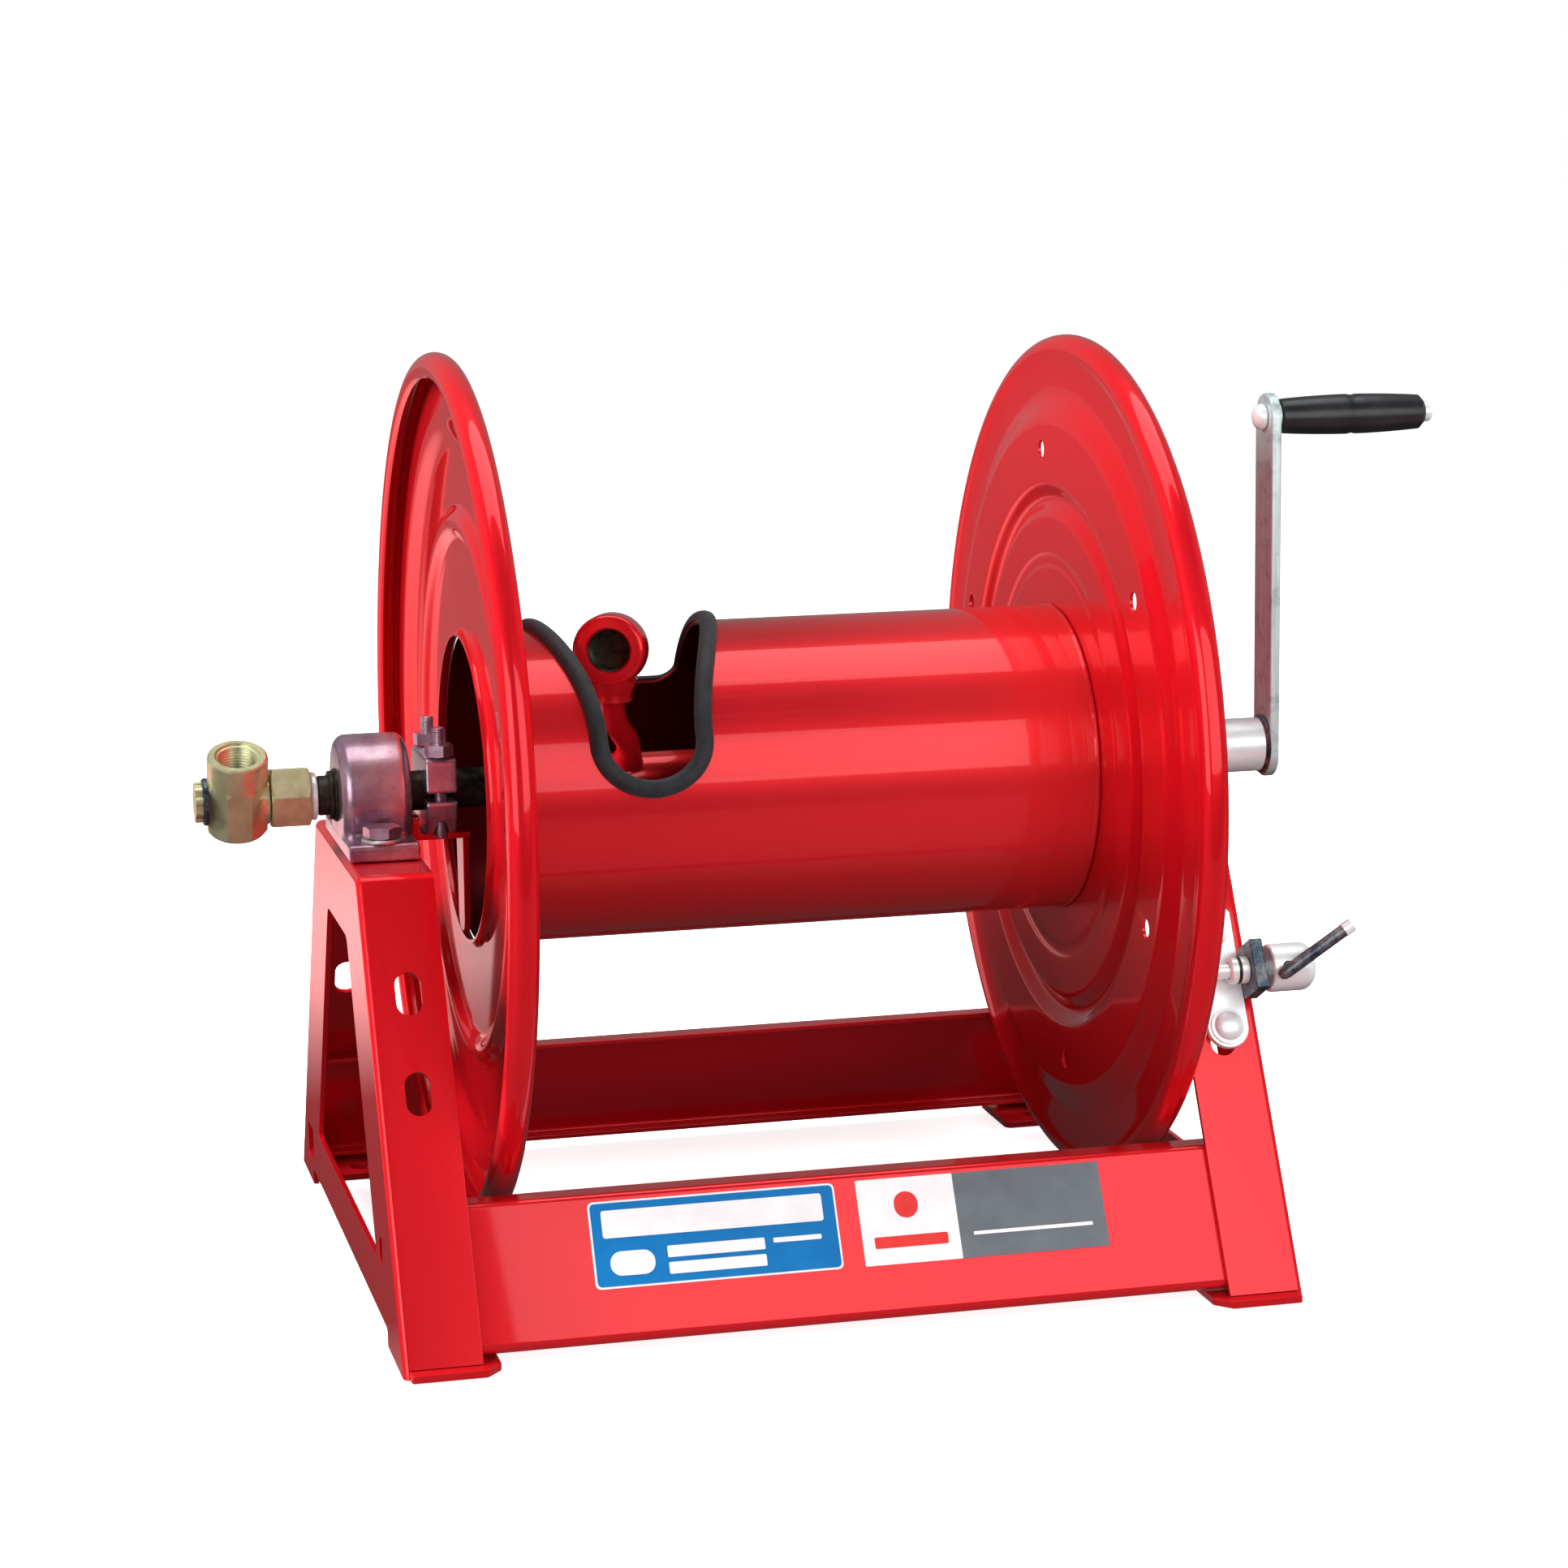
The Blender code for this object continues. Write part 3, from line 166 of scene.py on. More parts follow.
def red_paint(name="red_powder_coat", hollow=None):
    """Red coat; inside the hollow radius about the axle it goes nearly black, a painted shade for the
    drum's unlit inside.
    """
    n = Nodes(name, Metallic=0.50, Coat_Weight=1.0, Coat_Roughness=0.045, Coat_IOR=1.40,
              Specular_Tint=(1.0, 0.12, 0.14, 1.0))
    cloud = n.noise(7.0, 2.0)
    grain = n.noise(330.0, 2.0)
    base = n.blend(cloud, 0.3, 0.7, 1.0, (0.63, 0.0055, 0.012), (0.69, 0.0075, 0.016))
    base = n.blend(grain, 0.45, 0.75, 0.18, base, (0.55, 0.0055, 0.011))
    # painted highlight: the coat turns lighter red on convex edges
    base = n.blend(n.pointiness(), 0.53, 0.62, 1.0, base, (0.78, 0.030, 0.036))
    # painted shade: inside the drum the coat is painted nearly black and loses its clear coat
    if hollow is not None:
        y = n.axis("Y")
        z = n.math("SUBTRACT", n.axis("Z"), AXLE_Z * MM)
        out = n.math("SQRT", n.math("ADD", n.math("MULTIPLY", y, y), n.math("MULTIPLY", z, z)))
        inside = n.ramp(out, (hollow - 0.5) * MM, hollow * MM, 1.0, 0.0)
        base = n.mix(inside, base, (0.07, 0.0016, 0.0026))
        n.set("Coat Weight", n.math("SUBTRACT", 1.0, inside))
    rough = n.ramp(n.noise(30.0, 3.0), 0.3, 0.7, 0.285, 0.33)
    return n.finished(base, rough, n.noise(700.0, 1.0), 0.03, 0.0002)


def zinc(name="bright_zinc", tint=(0.86, 0.87, 0.88), dark=(0.66, 0.68, 0.71), rough=(0.285, 0.40),
         metal=0.9):
    n = Nodes(name, Metallic=metal)
    cloud = n.noise(55.0, 4.0, 0.6)
    base = n.blend(cloud, 0.38, 0.68, 1.0, tint, dark)
    sheen = n.ramp(n.noise(140.0, 3.0), 0.3, 0.7, *rough)
    return n.finished(base, sheen, n.noise(900.0, 2.0), 0.06, 0.0002)


def brushed_zinc():
    n = Nodes("rolled_zinc_strip", Metallic=0.65)
    streak = n.noise(420.0, 4.0, 0.6, (1.0, 1.0, 0.04))
    spots = n.noise(110.0, 5.0, 0.65)
    base = n.blend(streak, 0.3, 0.7, 1.0, (0.74, 0.90, 0.90), (0.52, 0.65, 0.65))
    base = n.blend(spots, 0.50, 0.70, 0.6, base, (0.26, 0.27, 0.27))
    return n.finished(base, n.ramp(streak, 0.3, 0.7, 0.34, 0.52), streak, 0.12, 0.0003)


def cast_mauve():
    n = Nodes("mauve_casting_painted_red_reflection", Metallic=0.88, Coat_Weight=1.0, Coat_Roughness=0.06)
    cloud = n.noise(34.0, 3.0, 0.6)
    # painted reflection: the mauve tint stands for the surrounding red paint mirrored in grey metal; the
    # cloud varies its tone at random
    base = n.blend(cloud, 0.36, 0.66, 1.0, (0.74, 0.58, 0.68), (0.34, 0.14, 0.25))
    grain = n.noise(600.0, 3.0)
    base = n.blend(grain, 0.48, 0.75, 0.25, base, (0.20, 0.10, 0.16))
    return n.finished(base, n.ramp(cloud, 0.3, 0.7, 0.285, 0.34), grain, 0.10, 0.0004)


def brass():
    n = Nodes("machined_brass", Metallic=0.85)
    cloud = n.noise(60.0, 4.0, 0.6)
    base = n.blend(cloud, 0.34, 0.68, 1.0, (0.78, 0.80, 0.48), (0.58, 0.58, 0.33))
    stain = n.noise(34.0, 5.0, 0.7)
    base = n.blend(stain, 0.54, 0.72, 0.40, base, (0.34, 0.25, 0.12))
    # painted shade: the brass turns dark in its hollows
    hollow = n.ramp(n.pointiness(), 0.40, 0.485, 0.8, 0.0)
    base = n.mix(hollow, base, (0.09, 0.045, 0.012))
    rough = n.ramp(n.noise(220.0, 3.0), 0.3, 0.7, 0.28, 0.46)
    return n.finished(base, rough, n.noise(500.0, 3.0, 0.6, (1.0, 1.0, 3.0)), 0.10, 0.0003)


def black_pipe():
    n = Nodes("black_pipe_and_painted_shade", Metallic=0.85)
    cloud = n.noise(120.0, 4.0, 0.65)
    base = n.blend(cloud, 0.35, 0.7, 1.0, (0.020, 0.019, 0.016), (0.085, 0.080, 0.055))
    return n.finished(base, n.ramp(cloud, 0.3, 0.7, 0.30, 0.52), cloud, 0.15, 0.0004)


def dark_steel():
    n = Nodes("dark_steel_and_painted_shade", Metallic=0.9)
    cloud = n.noise(150.0, 5.0, 0.7)
    base = n.blend(cloud, 0.42, 0.66, 1.0, (0.055, 0.085, 0.12), (0.30, 0.32, 0.33))
    return n.finished(base, n.ramp(cloud, 0.3, 0.7, 0.28, 0.48), cloud, 0.2, 0.0004)


def rubber():
    n = Nodes("edge_rubber", Specular_IOR_Level=0.25, Sheen_Weight=0.08, Sheen_Roughness=0.6)
    grain = n.noise(1300.0, 3.0, 0.6)
    cloud = n.noise(90.0, 4.0)
    base = n.blend(cloud, 0.35, 0.7, 1.0, (0.010, 0.014, 0.017), (0.022, 0.029, 0.033))
    base = n.blend(grain, 0.5, 0.75, 0.5, base, (0.050, 0.062, 0.070))
    return n.finished(base, n.ramp(grain, 0.3, 0.7, 0.42, 0.62), grain, 0.30, 0.0005)


def grip_plastic():
    n = Nodes("grip_moulding", Specular_IOR_Level=0.6)
    cloud = n.noise(60.0, 3.0)
    base = n.blend(cloud, 0.3, 0.7, 1.0, (0.006, 0.007, 0.008), (0.014, 0.015, 0.018))
    rough = n.ramp(n.noise(300.0, 3.0), 0.3, 0.7, 0.285, 0.36)
    return n.finished(base, rough, n.noise(900.0, 3.0), 0.12, 0.0003)


def film(name, low, high):
    n = Nodes(name, Specular_IOR_Level=0.15)
    base = n.blend(n.noise(70.0, 4.0), 0.3, 0.7, 1.0, low, high)
    rough = n.ramp(n.noise(200.0, 2.0), 0.3, 0.7, 0.30, 0.42)
    return n.finished(base, rough, n.noise(500.0, 2.0), 0.06, 0.0002)


RED = red_paint()
SKIN = red_paint("red_drum_coat_painted_shade_inside", DRUM_R - 0.6)
ZINC = zinc()
CHROME = zinc("polished_plate", (0.90, 0.955, 0.965), (0.78, 0.85, 0.875), (0.285, 0.34), 0.42)
STRIP = brushed_zinc()
MAUVE = cast_mauve()
BRASS = brass()
PIPE = black_pipe()
STEEL = dark_steel()
RUBBER = rubber()
GRIP = grip_plastic()
BLUE = film("panel_blue", (0.002, 0.140, 0.400), (0.003, 0.170, 0.450))
WHITE = film("panel_white", (0.76, 0.76, 0.77), (0.86, 0.86, 0.87))
GREY = film("panel_grey", (0.110, 0.128, 0.145), (0.140, 0.163, 0.184))
SIGNAL = film("panel_red", (0.62, 0.030, 0.030), (0.72, 0.045, 0.040))


# ------------ shape helpers (mm in, metres out)
def point(x, y, z):
    return Vector(((x - MID_X) * MM, y * MM, z * MM))


def on_axle(x):
    return point(x, 0, AXLE_Z)


def around_axle(x, angle, r):
    """Angle in degrees from straight up, towards the front."""
    a = math.radians(angle)
    return point(x, -r * math.sin(a), AXLE_Z + r * math.cos(a))


def on_grip(x):
    return point(x, 0, GRIP_Z)


def circle(bm, centre, up, side, radius, steps):
    """One ring of vertices; radius in mm."""
    angles = [2 * math.pi * k / steps for k in range(steps)]
    return [bm.verts.new(centre + (up * math.cos(a) + side * math.sin(a)) * radius * MM) for a in angles]


def basis(axis):
    axis = Vector(axis).normalized()
    up = Z_AXIS if abs(axis.z) < 0.9 else -Y_AXIS
    side = axis.cross(up).normalized()
    return axis, side.cross(axis).normalized(), side


def placed(name, data):
    obj = bpy.data.objects.new(name, data)
    bpy.context.scene.collection.objects.link(obj)
    return obj


def raw(name, bm, mat):
    bmesh.ops.remove_doubles(bm, verts=bm.verts, dist=1e-7)
    bmesh.ops.recalc_face_normals(bm, faces=bm.faces)
    mesh = bpy.data.meshes.new(name)
    bm.to_mesh(mesh)
    bm.free()
    mesh.materials.append(mat)
    return placed(name, mesh)


def baked(obj):
    """Applies the object's modifiers."""
    graph = bpy.context.evaluated_depsgraph_get()
    mesh = bpy.data.meshes.new_from_object(obj.evaluated_get(graph))
    obj.modifiers.clear()
    obj.data = mesh
    return obj


def cut(obj, *tools, operation="DIFFERENCE"):
    for tool in tools:
        mod = obj.modifiers.new("cut", "BOOLEAN")
        mod.operation = operation
        mod.solver = "EXACT"
        mod.object = tool
    baked(obj)
    for tool in tools:
        bpy.data.objects.remove(tool, do_unlink=True)
    bm = bmesh.new()
    bm.from_mesh(obj.data)
    bmesh.ops.remove_doubles(bm, verts=bm.verts, dist=2e-6)
    bmesh.ops.dissolve_degenerate(bm, edges=bm.edges, dist=2e-6)
    bm.to_mesh(obj.data)
    bm.free()
    return obj


def joined(obj, *tools):
    return cut(obj, *tools, operation="UNION")


def rounded_edges(obj, width, segments, angle=35.0):
    """Small radius on every edge sharper than the angle, so it catches the light."""
    mod = obj.modifiers.new("edge_radius", "BEVEL")
    mod.width = width * MM
    mod.segments = segments
    mod.limit_method = "ANGLE"
    mod.angle_limit = math.radians(angle)
    mod.use_clamp_overlap = True
    return obj


def part(obj, body, nodes=(), smooth=32.0):
    """Shades the piece, lets it ride on its body and stand for its CAD nodes."""
    baked(obj)
    obj.data.shade_smooth()
    obj.data.set_sharp_from_angle(angle=math.radians(smooth))
    flatten = obj.modifiers.new("flat_face_normals", "WEIGHTED_NORMAL")
    flatten.keep_sharp = True
    flatten.weight = 90
    baked(obj)
    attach(obj, body)
    if nodes:
        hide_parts(*([nodes] if isinstance(nodes, str) else nodes))
    return obj


def lathe(name, profile, origin, axis, mat, steps, closed=False):
    """Turns (along, radius) points in mm about an axis through origin (world metres)."""
    axis, up, side = basis(axis)
    bm = bmesh.new()
    rings = []
    for along, radius in profile:
        centre = origin + axis * along * MM
        if radius < 1e-6:
            rings.append([bm.verts.new(centre)])
            continue
        rings.append(circle(bm, centre, up, side, radius, steps))
    pairs = list(zip(rings, rings[1:]))
    if closed:
        pairs.append((rings[-1], rings[0]))
    for a, b in pairs:
        for k in range(steps):
            n = (k + 1) % steps
            corners = (a[k % len(a)], b[k % len(b)], b[n % len(b)], a[n % len(a)])
            unique = list(dict.fromkeys(corners))
            if len(unique) > 2:
                bm.faces.new(unique)
    return raw(name, bm, mat)


def rod(name, start, end, radius, mat, chamfer=0.0, steps=48):
    length = (end - start).length / MM
    narrow, last = radius - chamfer, length - chamfer
    profile = [(0, 0), (0, narrow), (chamfer, radius), (last, radius), (length, narrow), (length, 0)]
    return lathe(name, profile, start, end - start, mat, steps)


def prism(name, outline, origin, u, v, w, depth, mat):
    """Outline in mm along u and v, given depth in mm along w."""
    bm = bmesh.new()
    base = [bm.verts.new(origin + (u * a + v * b) * MM) for a, b in outline]
    face = bm.faces.new(base)
    made = bmesh.ops.extrude_face_region(bm, geom=[face])
    moved = [item for item in made["geom"] if isinstance(item, bmesh.types.BMVert)]
    bmesh.ops.translate(bm, verts=moved, vec=w * depth * MM)
    return raw(name, bm, mat)


def rounded(points, radius, steps):
    n = len(points)
    radii = radius if isinstance(radius, (list, tuple)) else [radius] * n
    out = []
    for i in range(n):
        p = Vector(points[i])
        a = Vector(points[i - 1]) - p
        b = Vector(points[(i + 1) % n]) - p
        if radii[i] <= 0:
            out.append((p.x, p.y))
            continue
        angle = a.angle(b)
        reach = min(radii[i] / math.tan(angle / 2), a.length * 0.49, b.length * 0.49)
        r = reach * math.tan(angle / 2)
        a.normalize()
        b.normalize()
        centre = p + (a + b).normalized() * (r / math.sin(angle / 2))
        start, end = p + a * reach - centre, p + b * reach - centre
        turn = math.atan2(start.x * end.y - start.y * end.x, start.dot(end))
        for k in range(steps + 1):
            t = turn * k / steps
            out.append((centre.x + start.x * math.cos(t) - start.y * math.sin(t),
                        centre.y + start.x * math.sin(t) + start.y * math.cos(t)))
    return out


def arc(a, b, radius, first, last, steps):
    """Points along an arc about (a, b), angles in degrees."""
    angles = [math.radians(first + (last - first) * k / steps) for k in range(steps + 1)]
    return [(a + radius * math.cos(t), b + radius * math.sin(t)) for t in angles]


def dome_profile(foot, height, radius, angles, power=1):
    """(along, radius) points over a rounded end; a negative height turns it the other way."""
    turns = [math.radians(t) for t in angles]
    return [(foot + height * math.sin(t), radius * math.cos(t) ** power) for t in turns]


def rectangle(a0, b0, a1, b1):
    return [(a0, b0), (a1, b0), (a1, b1), (a0, b1)]


def stadium(width, length):
    out = arc(0, (length - width) / 2, width / 2, 0, 180, 12)
    return out + [(-a, -b) for a, b in out]


def tube(name, path, widths, mat, steps):
    """Round pipe along world points with a radius in mm at each one."""
    bm = bmesh.new()
    rings = []
    up = None
    for i, p in enumerate(path):
        d = (path[min(i + 1, len(path) - 1)] - path[max(i - 1, 0)]).normalized()
        if up is None:
            up = basis(d)[1]
        up = (up - d * up.dot(d)).normalized()
        side = d.cross(up)
        rings.append(circle(bm, p, up, side, widths[i], steps))
    bm.faces.new(rings[0])
    bm.faces.new(rings[-1][::-1])
    skin(bm, rings)
    return raw(name, bm, mat)


def skin(bm, rings, around=False):
    """Quads from each ring of vertices to the next; around closes the last one to the first."""
    for near, far in zip(rings, rings[1:] + (rings[:1] if around else [])):
        for k in range(len(near)):
            n = (k + 1) % len(near)
            bm.faces.new((near[k], far[k], far[n], near[n]))


def smooth_path(points, count):
    """Catmull-Rom curve through the points."""
    out = []
    n = len(points) - 1
    for k in range(count + 1):
        t = n * k / count
        i = min(int(t), n - 1)
        f = t - i
        p0, p1 = points[max(i - 1, 0)], points[i]
        p2, p3 = points[i + 1], points[min(i + 2, n)]
        out.append(0.5 * ((2 * p1) + (p2 - p0) * f + (2 * p0 - 5 * p1 + 4 * p2 - p3) * f * f
                          + (3 * p1 - p0 - 3 * p2 + p3) * f ** 3))
    return out


def hexagon(name, start, end, flats, mat, turn, bore=0.0):
    """Six-sided nut or head whose corners are turned off at both ends."""
    axis, up, side = basis(end - start)
    depth = (end - start).length / MM
    corner = flats / 2 / math.cos(math.pi / 6)
    obj = prism(name, arc(0, 0, corner, turn, turn + 300, 5), start, up, side, axis, depth, mat)
    drop = (corner - flats / 2) * 0.62
    inside, end_r, wide = flats / 2 * 0.95 - 1, flats / 2 * 0.96, corner * 1.005
    profile = [(-1, 0), (-1, inside), (0, end_r), (drop, wide), (depth - drop, wide), (depth, end_r),
               (depth + 1, inside), (depth + 1, 0)]
    cut(obj, lathe("tool", profile, start, axis, mat, 72), operation="INTERSECT")
    if bore:
        cut(obj, rod("tool", start - axis * 2 * MM, end + axis * 2 * MM, bore, mat))
    return obj


def thread(name, start, end, radius, pitch, mat, steps):
    """Threaded rod: rings whose radius follows a helix."""
    axis, up, side = basis(end - start)
    length = (end - start).length / MM
    bm = bmesh.new()
    rings = []
    rows = max(8, int(length / pitch * 6))
    depth = pitch * 0.45
    for j in range(rows + 1):
        along = length * j / rows
        taper = min(1.0, min(along, length - along) / pitch)
        ring = []
        for k in range(steps):
            a = 2 * math.pi * k / steps
            wave = abs(((along / pitch - k / steps) % 1.0) * 2 - 1)
            r = radius - depth * (1 - wave) * 0.9 - depth * 0.5 * (1 - taper)
            spoke = up * math.cos(a) + side * math.sin(a)
            ring.append(bm.verts.new(start + axis * along * MM + spoke * r * MM))
        rings.append(ring)
    bm.faces.new(rings[0][::-1])
    bm.faces.new(rings[-1])
    skin(bm, rings)
    return raw(name, bm, mat)


# ------------ side frames, feet, channels
def side_frame(tag, sign):
    outer = sign * FRAME_HALF
    inward = -sign
    top = leg_y(FRAME_TOP)
    u, v, w = Y_AXIS, Z_AXIS, X_AXIS * inward
    outline = rounded([(-FOOT_Y, 0), (FOOT_Y, 0), (top, FRAME_TOP), (-top, FRAME_TOP)], [0, 0, 6, 6], 8)
    obj = prism("side_frame_skin_" + tag, outline, point(outer, 0, 0), u, v, w, FLANGE, RED)
    bend = obj.modifiers.new("bend", "BEVEL")
    bend.width = BEND_R * MM
    bend.segments = 6
    bend.limit_method = "WEIGHT"
    layer = obj.data.attributes.new("bevel_weight_edge", "FLOAT", "EDGE")
    face_x = (outer - MID_X) * MM
    for edge in obj.data.edges:
        a, b = (obj.data.vertices[i].co for i in edge.vertices)
        on_web = abs(a.x - face_x) < 1e-6 and abs(b.x - face_x) < 1e-6
        layer.data[edge.index].value = 1.0 if on_web and max(a.z, b.z) > 1e-6 else 0.0
    slack = SHEET / math.cos(TILT)
    low, high = -10, FRAME_TOP - SHEET
    y_low, y_high = leg_y(low) - slack, leg_y(high) - slack
    inner = rounded([(-y_low, low), (y_low, low), (y_high, high), (-y_high, high)], [0, 0, 3.5, 3.5], 6)
    hollow = prism("tool", inner, point(outer + inward * SHEET, 0, 0), u, v, w, FLANGE, RED)
    half = WINDOW_HALF + SLOPE * (WINDOW_HIGH - WINDOW_LOW)
    start = point(outer - inward * 5, 0, 0)
    behind_web = point(outer + inward * (SHEET + GAP), 0, 0)
    window = rounded([(-half, WINDOW_LOW), (half, WINDOW_LOW), (WINDOW_HALF, WINDOW_HIGH),
                      (-WINDOW_HALF, WINDOW_HIGH)], [3, 3, 9, 9], 6)
    tools = [hollow, prism("tool", window, start, u, v, w, 12, RED),
             prism("tool", rounded(rectangle(-135, -5, 135, 8), [0, 0, 3, 3], 5), start, u, v, w,
                   50, RED),
             prism("tool", rectangle(-195, -5, 195, 3.8), behind_web, u, v, w, 50, RED),
             prism("tool", rounded(rectangle(-126, 34, -117, 46), 2, 4), start, u, v, w, 12, RED),
             prism("tool", rounded(rectangle(131, 12, 152, 29), 2, 4), start, u, v, w, 12, RED)]
    for face in (-1, 1):
        along = Vector((0, -face * math.sin(TILT), math.cos(TILT)))
        out = Vector((0, face * math.cos(TILT), math.sin(TILT)))
        for z in (LEG_SLOT_LOW, LEG_SLOT_HIGH):
            start = point(sign * LEG_SLOT_X, face * leg_y(z), z) - out * 8 * MM
            tools.append(prism("tool", stadium(11.5, 20), start, X_AXIS, along, out, 16, RED))
    cut(obj, *tools)
    return part(rounded_edges(obj, 0.45, 2, 40), "frame", "side_frame_" + tag)


def foot_pad(name, sign, face):
    x0, x1 = FRAME_HALF - SHEET - GAP, 162.5
    y0, y1 = 136.0, FOOT_Y + 5
    outline = rounded([(x0, y0), (x1, y0), (x1, y1 - 8), (x1 + 7, y1), (x0, y1)], [1, 4, 2, 2, 1], 5)
    outline = [(sign * a, face * b) for a, b in outline]
    obj = prism(name + "_plate", outline, point(0, 0, 0), X_AXIS, Y_AXIS, Z_AXIS, PAD_THICK, RED)
    hole_x, hole_y = sign * 180, face * 150
    cut(obj, rod("tool", point(hole_x, hole_y, -5), point(hole_x, hole_y, 9), 5.0, RED))
    return part(rounded_edges(obj, 0.5, 2), "frame", name)


for tag, sign in SIDES:
    side_frame(tag, sign)
    for end, face in ENDS:
        foot_pad("foot_pad_%s_%s" % (end, tag), sign, face)


def channel(name, face):
    back, web = (SHEET + GAP) / math.cos(TILT), SHEET / math.cos(TILT)
    low, high, lip = 5.0, 64.6, 12.0

    def outer(z):
        return face * (leg_y(z) - back)

    def inner(z):
        return face * (leg_y(z) - back - web)

    low_lip, high_lip = outer(low) - face * lip, outer(high) - face * lip
    under, over = high - SHEET, low + SHEET
    outline = rounded([(outer(low), low), (outer(high), high), (high_lip, high), (high_lip, under),
                       (inner(under), under), (inner(over), over), (low_lip, over), (low_lip, low)],
                      [3.5, 3.5, 0.5, 0.5, 1.2, 1.2, 0.5, 0.5], 6)
    half = FRAME_HALF - SHEET - GAP
    obj = prism(name + "_section", outline, point(-half, 0, 0), Y_AXIS, Z_AXIS, X_AXIS, 2 * half, RED)
    return part(rounded_edges(obj, 0.3, 2, 50), "frame", name)


channel("cross_channel_front", -1)
channel("cross_channel_rear", 1)

# ------------ plain panels on the front channel
# lifts of the film layers off the channel's web
FILM_THICK, ON_WEB, ON_BORDER, ON_FIELD, ON_RIGHT = 0.25, 0.02, 0.27, 0.54, 0.29
PANEL_HALF = 19.5
web_mid = point(0, (SHEET + GAP) / math.cos(TILT) - leg_y(PANEL_Z), PANEL_Z)


def panel(name, x0, x1, half, mat, lift, nodes=(), radius=2.5, centre=0.0):
    outline = rounded(rectangle(x0, centre - half, x1, centre + half), radius, 5)
    obj = prism(name, outline, web_mid + OUT * lift * MM, X_AXIS, ALONG, OUT, FILM_THICK, mat)
    return part(obj, "frame", nodes)


panel("panel_left_border", -117.5, -5.5, PANEL_HALF, WHITE, ON_WEB, "label_panel_left")
panel("panel_left_field", -116.6, -6.4, 18.6, BLUE, ON_BORDER, radius=2.0)
panel("panel_left_bar_wide", -112, -12, 6.2, WHITE, ON_FIELD, radius=1.2, centre=9.0)
panel("panel_left_bar_upper", -84, -40, 2.6, WHITE, ON_FIELD, radius=0.6, centre=-5.2)
panel("panel_left_bar_lower", -84, -40, 2.6, WHITE, ON_FIELD, radius=0.6, centre=-12.6)
panel("panel_left_badge", -110, -90, 5.4, WHITE, ON_FIELD, radius=5.0, centre=-8.8)
panel("panel_left_mark", -36, -14, 1.1, WHITE, ON_FIELD, radius=0.5, centre=-4.2)
panel("panel_right_field", 4.5, 49.5, PANEL_HALF, WHITE, ON_WEB, "label_panel_right", radius=0.4)
panel("panel_right_grey", 49.5, 118.5, PANEL_HALF, GREY, ON_WEB, radius=0.4)
panel("panel_right_drop", 21, 32, 6.0, SIGNAL, ON_RIGHT, radius=5.4, centre=7.0)
panel("panel_right_bar", 10, 44, 2.6, SIGNAL, ON_RIGHT, radius=0.8, centre=-9.5)
panel("panel_right_line", 56, 112, 0.8, WHITE, ON_RIGHT, radius=0.4, centre=-8.6)


# ------------ bearing blocks, bolts, bushes
BLOCK_IN, BLOCK_OUT, BLOCK_HALF, BASE_HIGH = 171.5, 204.0, 45, 8
BEARING_BOLT_X, BEARING_BOLT_Y = 187.7, 36


def bearing(tag, sign):
    x_in, x_out = sorted((sign * BLOCK_IN, sign * BLOCK_OUT))
    seat = FRAME_TOP + GAP
    drop = AXLE_Z - seat
    shaft = STUB_R if sign < 0 else AXLE_R
    x = sign * BEARING_BOLT_X
    outline = rounded(rectangle(-BLOCK_HALF, 0, BLOCK_HALF, BASE_HIGH), [0, 0, 2.5, 2.5], 5)
    base = prism("bearing_base_" + tag, outline, point(x_in, 0, seat), Y_AXIS, Z_AXIS, X_AXIS,
                 x_out - x_in, MAUVE)
    baked(rounded_edges(base, 1.5, 3, 60))
    outline = arc(0, drop, 28, -32, 212, 40) + [(-24.2, 1.5), (24.2, 1.5)]
    dome = prism("tool", outline, point(x_in, 0, seat), Y_AXIS, Z_AXIS, X_AXIS, x_out - x_in, MAUVE)
    baked(rounded_edges(dome, 5.5, 6, 60))
    joined(base, dome)
    shaft_bore = rod("tool", on_axle(x_in - 5), on_axle(x_out + 5), shaft + 3.3, MAUVE, 0, 64)
    cut(base, shaft_bore, *[rod("tool", point(x, y, seat - 5), point(x, y, seat + 25), 4.6, MAUVE)
                            for y in (-BEARING_BOLT_Y, BEARING_BOLT_Y)])
    part(rounded_edges(base, 0.5, 2, 50), "frame", "bearing_block_" + tag, 28)
    bush = [(0, shaft + 0.3), (0, shaft + 2.4), (0.6, shaft + 3), (35, shaft + 3), (35.5, shaft + 2.4),
            (35.5, shaft + 0.3)]
    part(lathe("bearing_liner_" + tag, bush, on_axle(x_in - 1.5), X_AXIS, PIPE, 72, True), "frame",
         "bearing_bush_" + tag)
    for end, face in ENDS:
        y, top = face * BEARING_BOLT_Y, seat + BASE_HIGH + GAP
        corner = "_%s_%s" % (end, tag)
        washer = [(0, 4.2), (0, 9.2), (0.4, 9.6), (1.2, 9.6), (1.6, 9.2), (1.6, 4.2)]
        foot = point(x, y, top - 0.25)
        part(lathe("bearing_washer" + corner, washer, foot, Z_AXIS, ZINC, 48, True), "frame")
        head = hexagon("bearing_screw" + corner, point(x, y, top + 1.5), point(x, y, top + 7), 15.5,
                       MAUVE if sign < 0 else ZINC, 12)
        joined(head, thread("tool", point(x, y, seat - 11), point(x, y, top + 2), 4.0, 1.25, ZINC, 28))
        part(head, "frame", "bearing_bolt" + corner)
        nut = hexagon("bearing_lock_nut" + corner, point(x, y, seat - 10),
                      point(x, y, FRAME_TOP - SHEET - GAP), 13, ZINC, 0, 4.3)
        part(nut, "frame", "bearing_nut" + corner)


for tag, sign in SIDES:
    bearing(tag, sign)


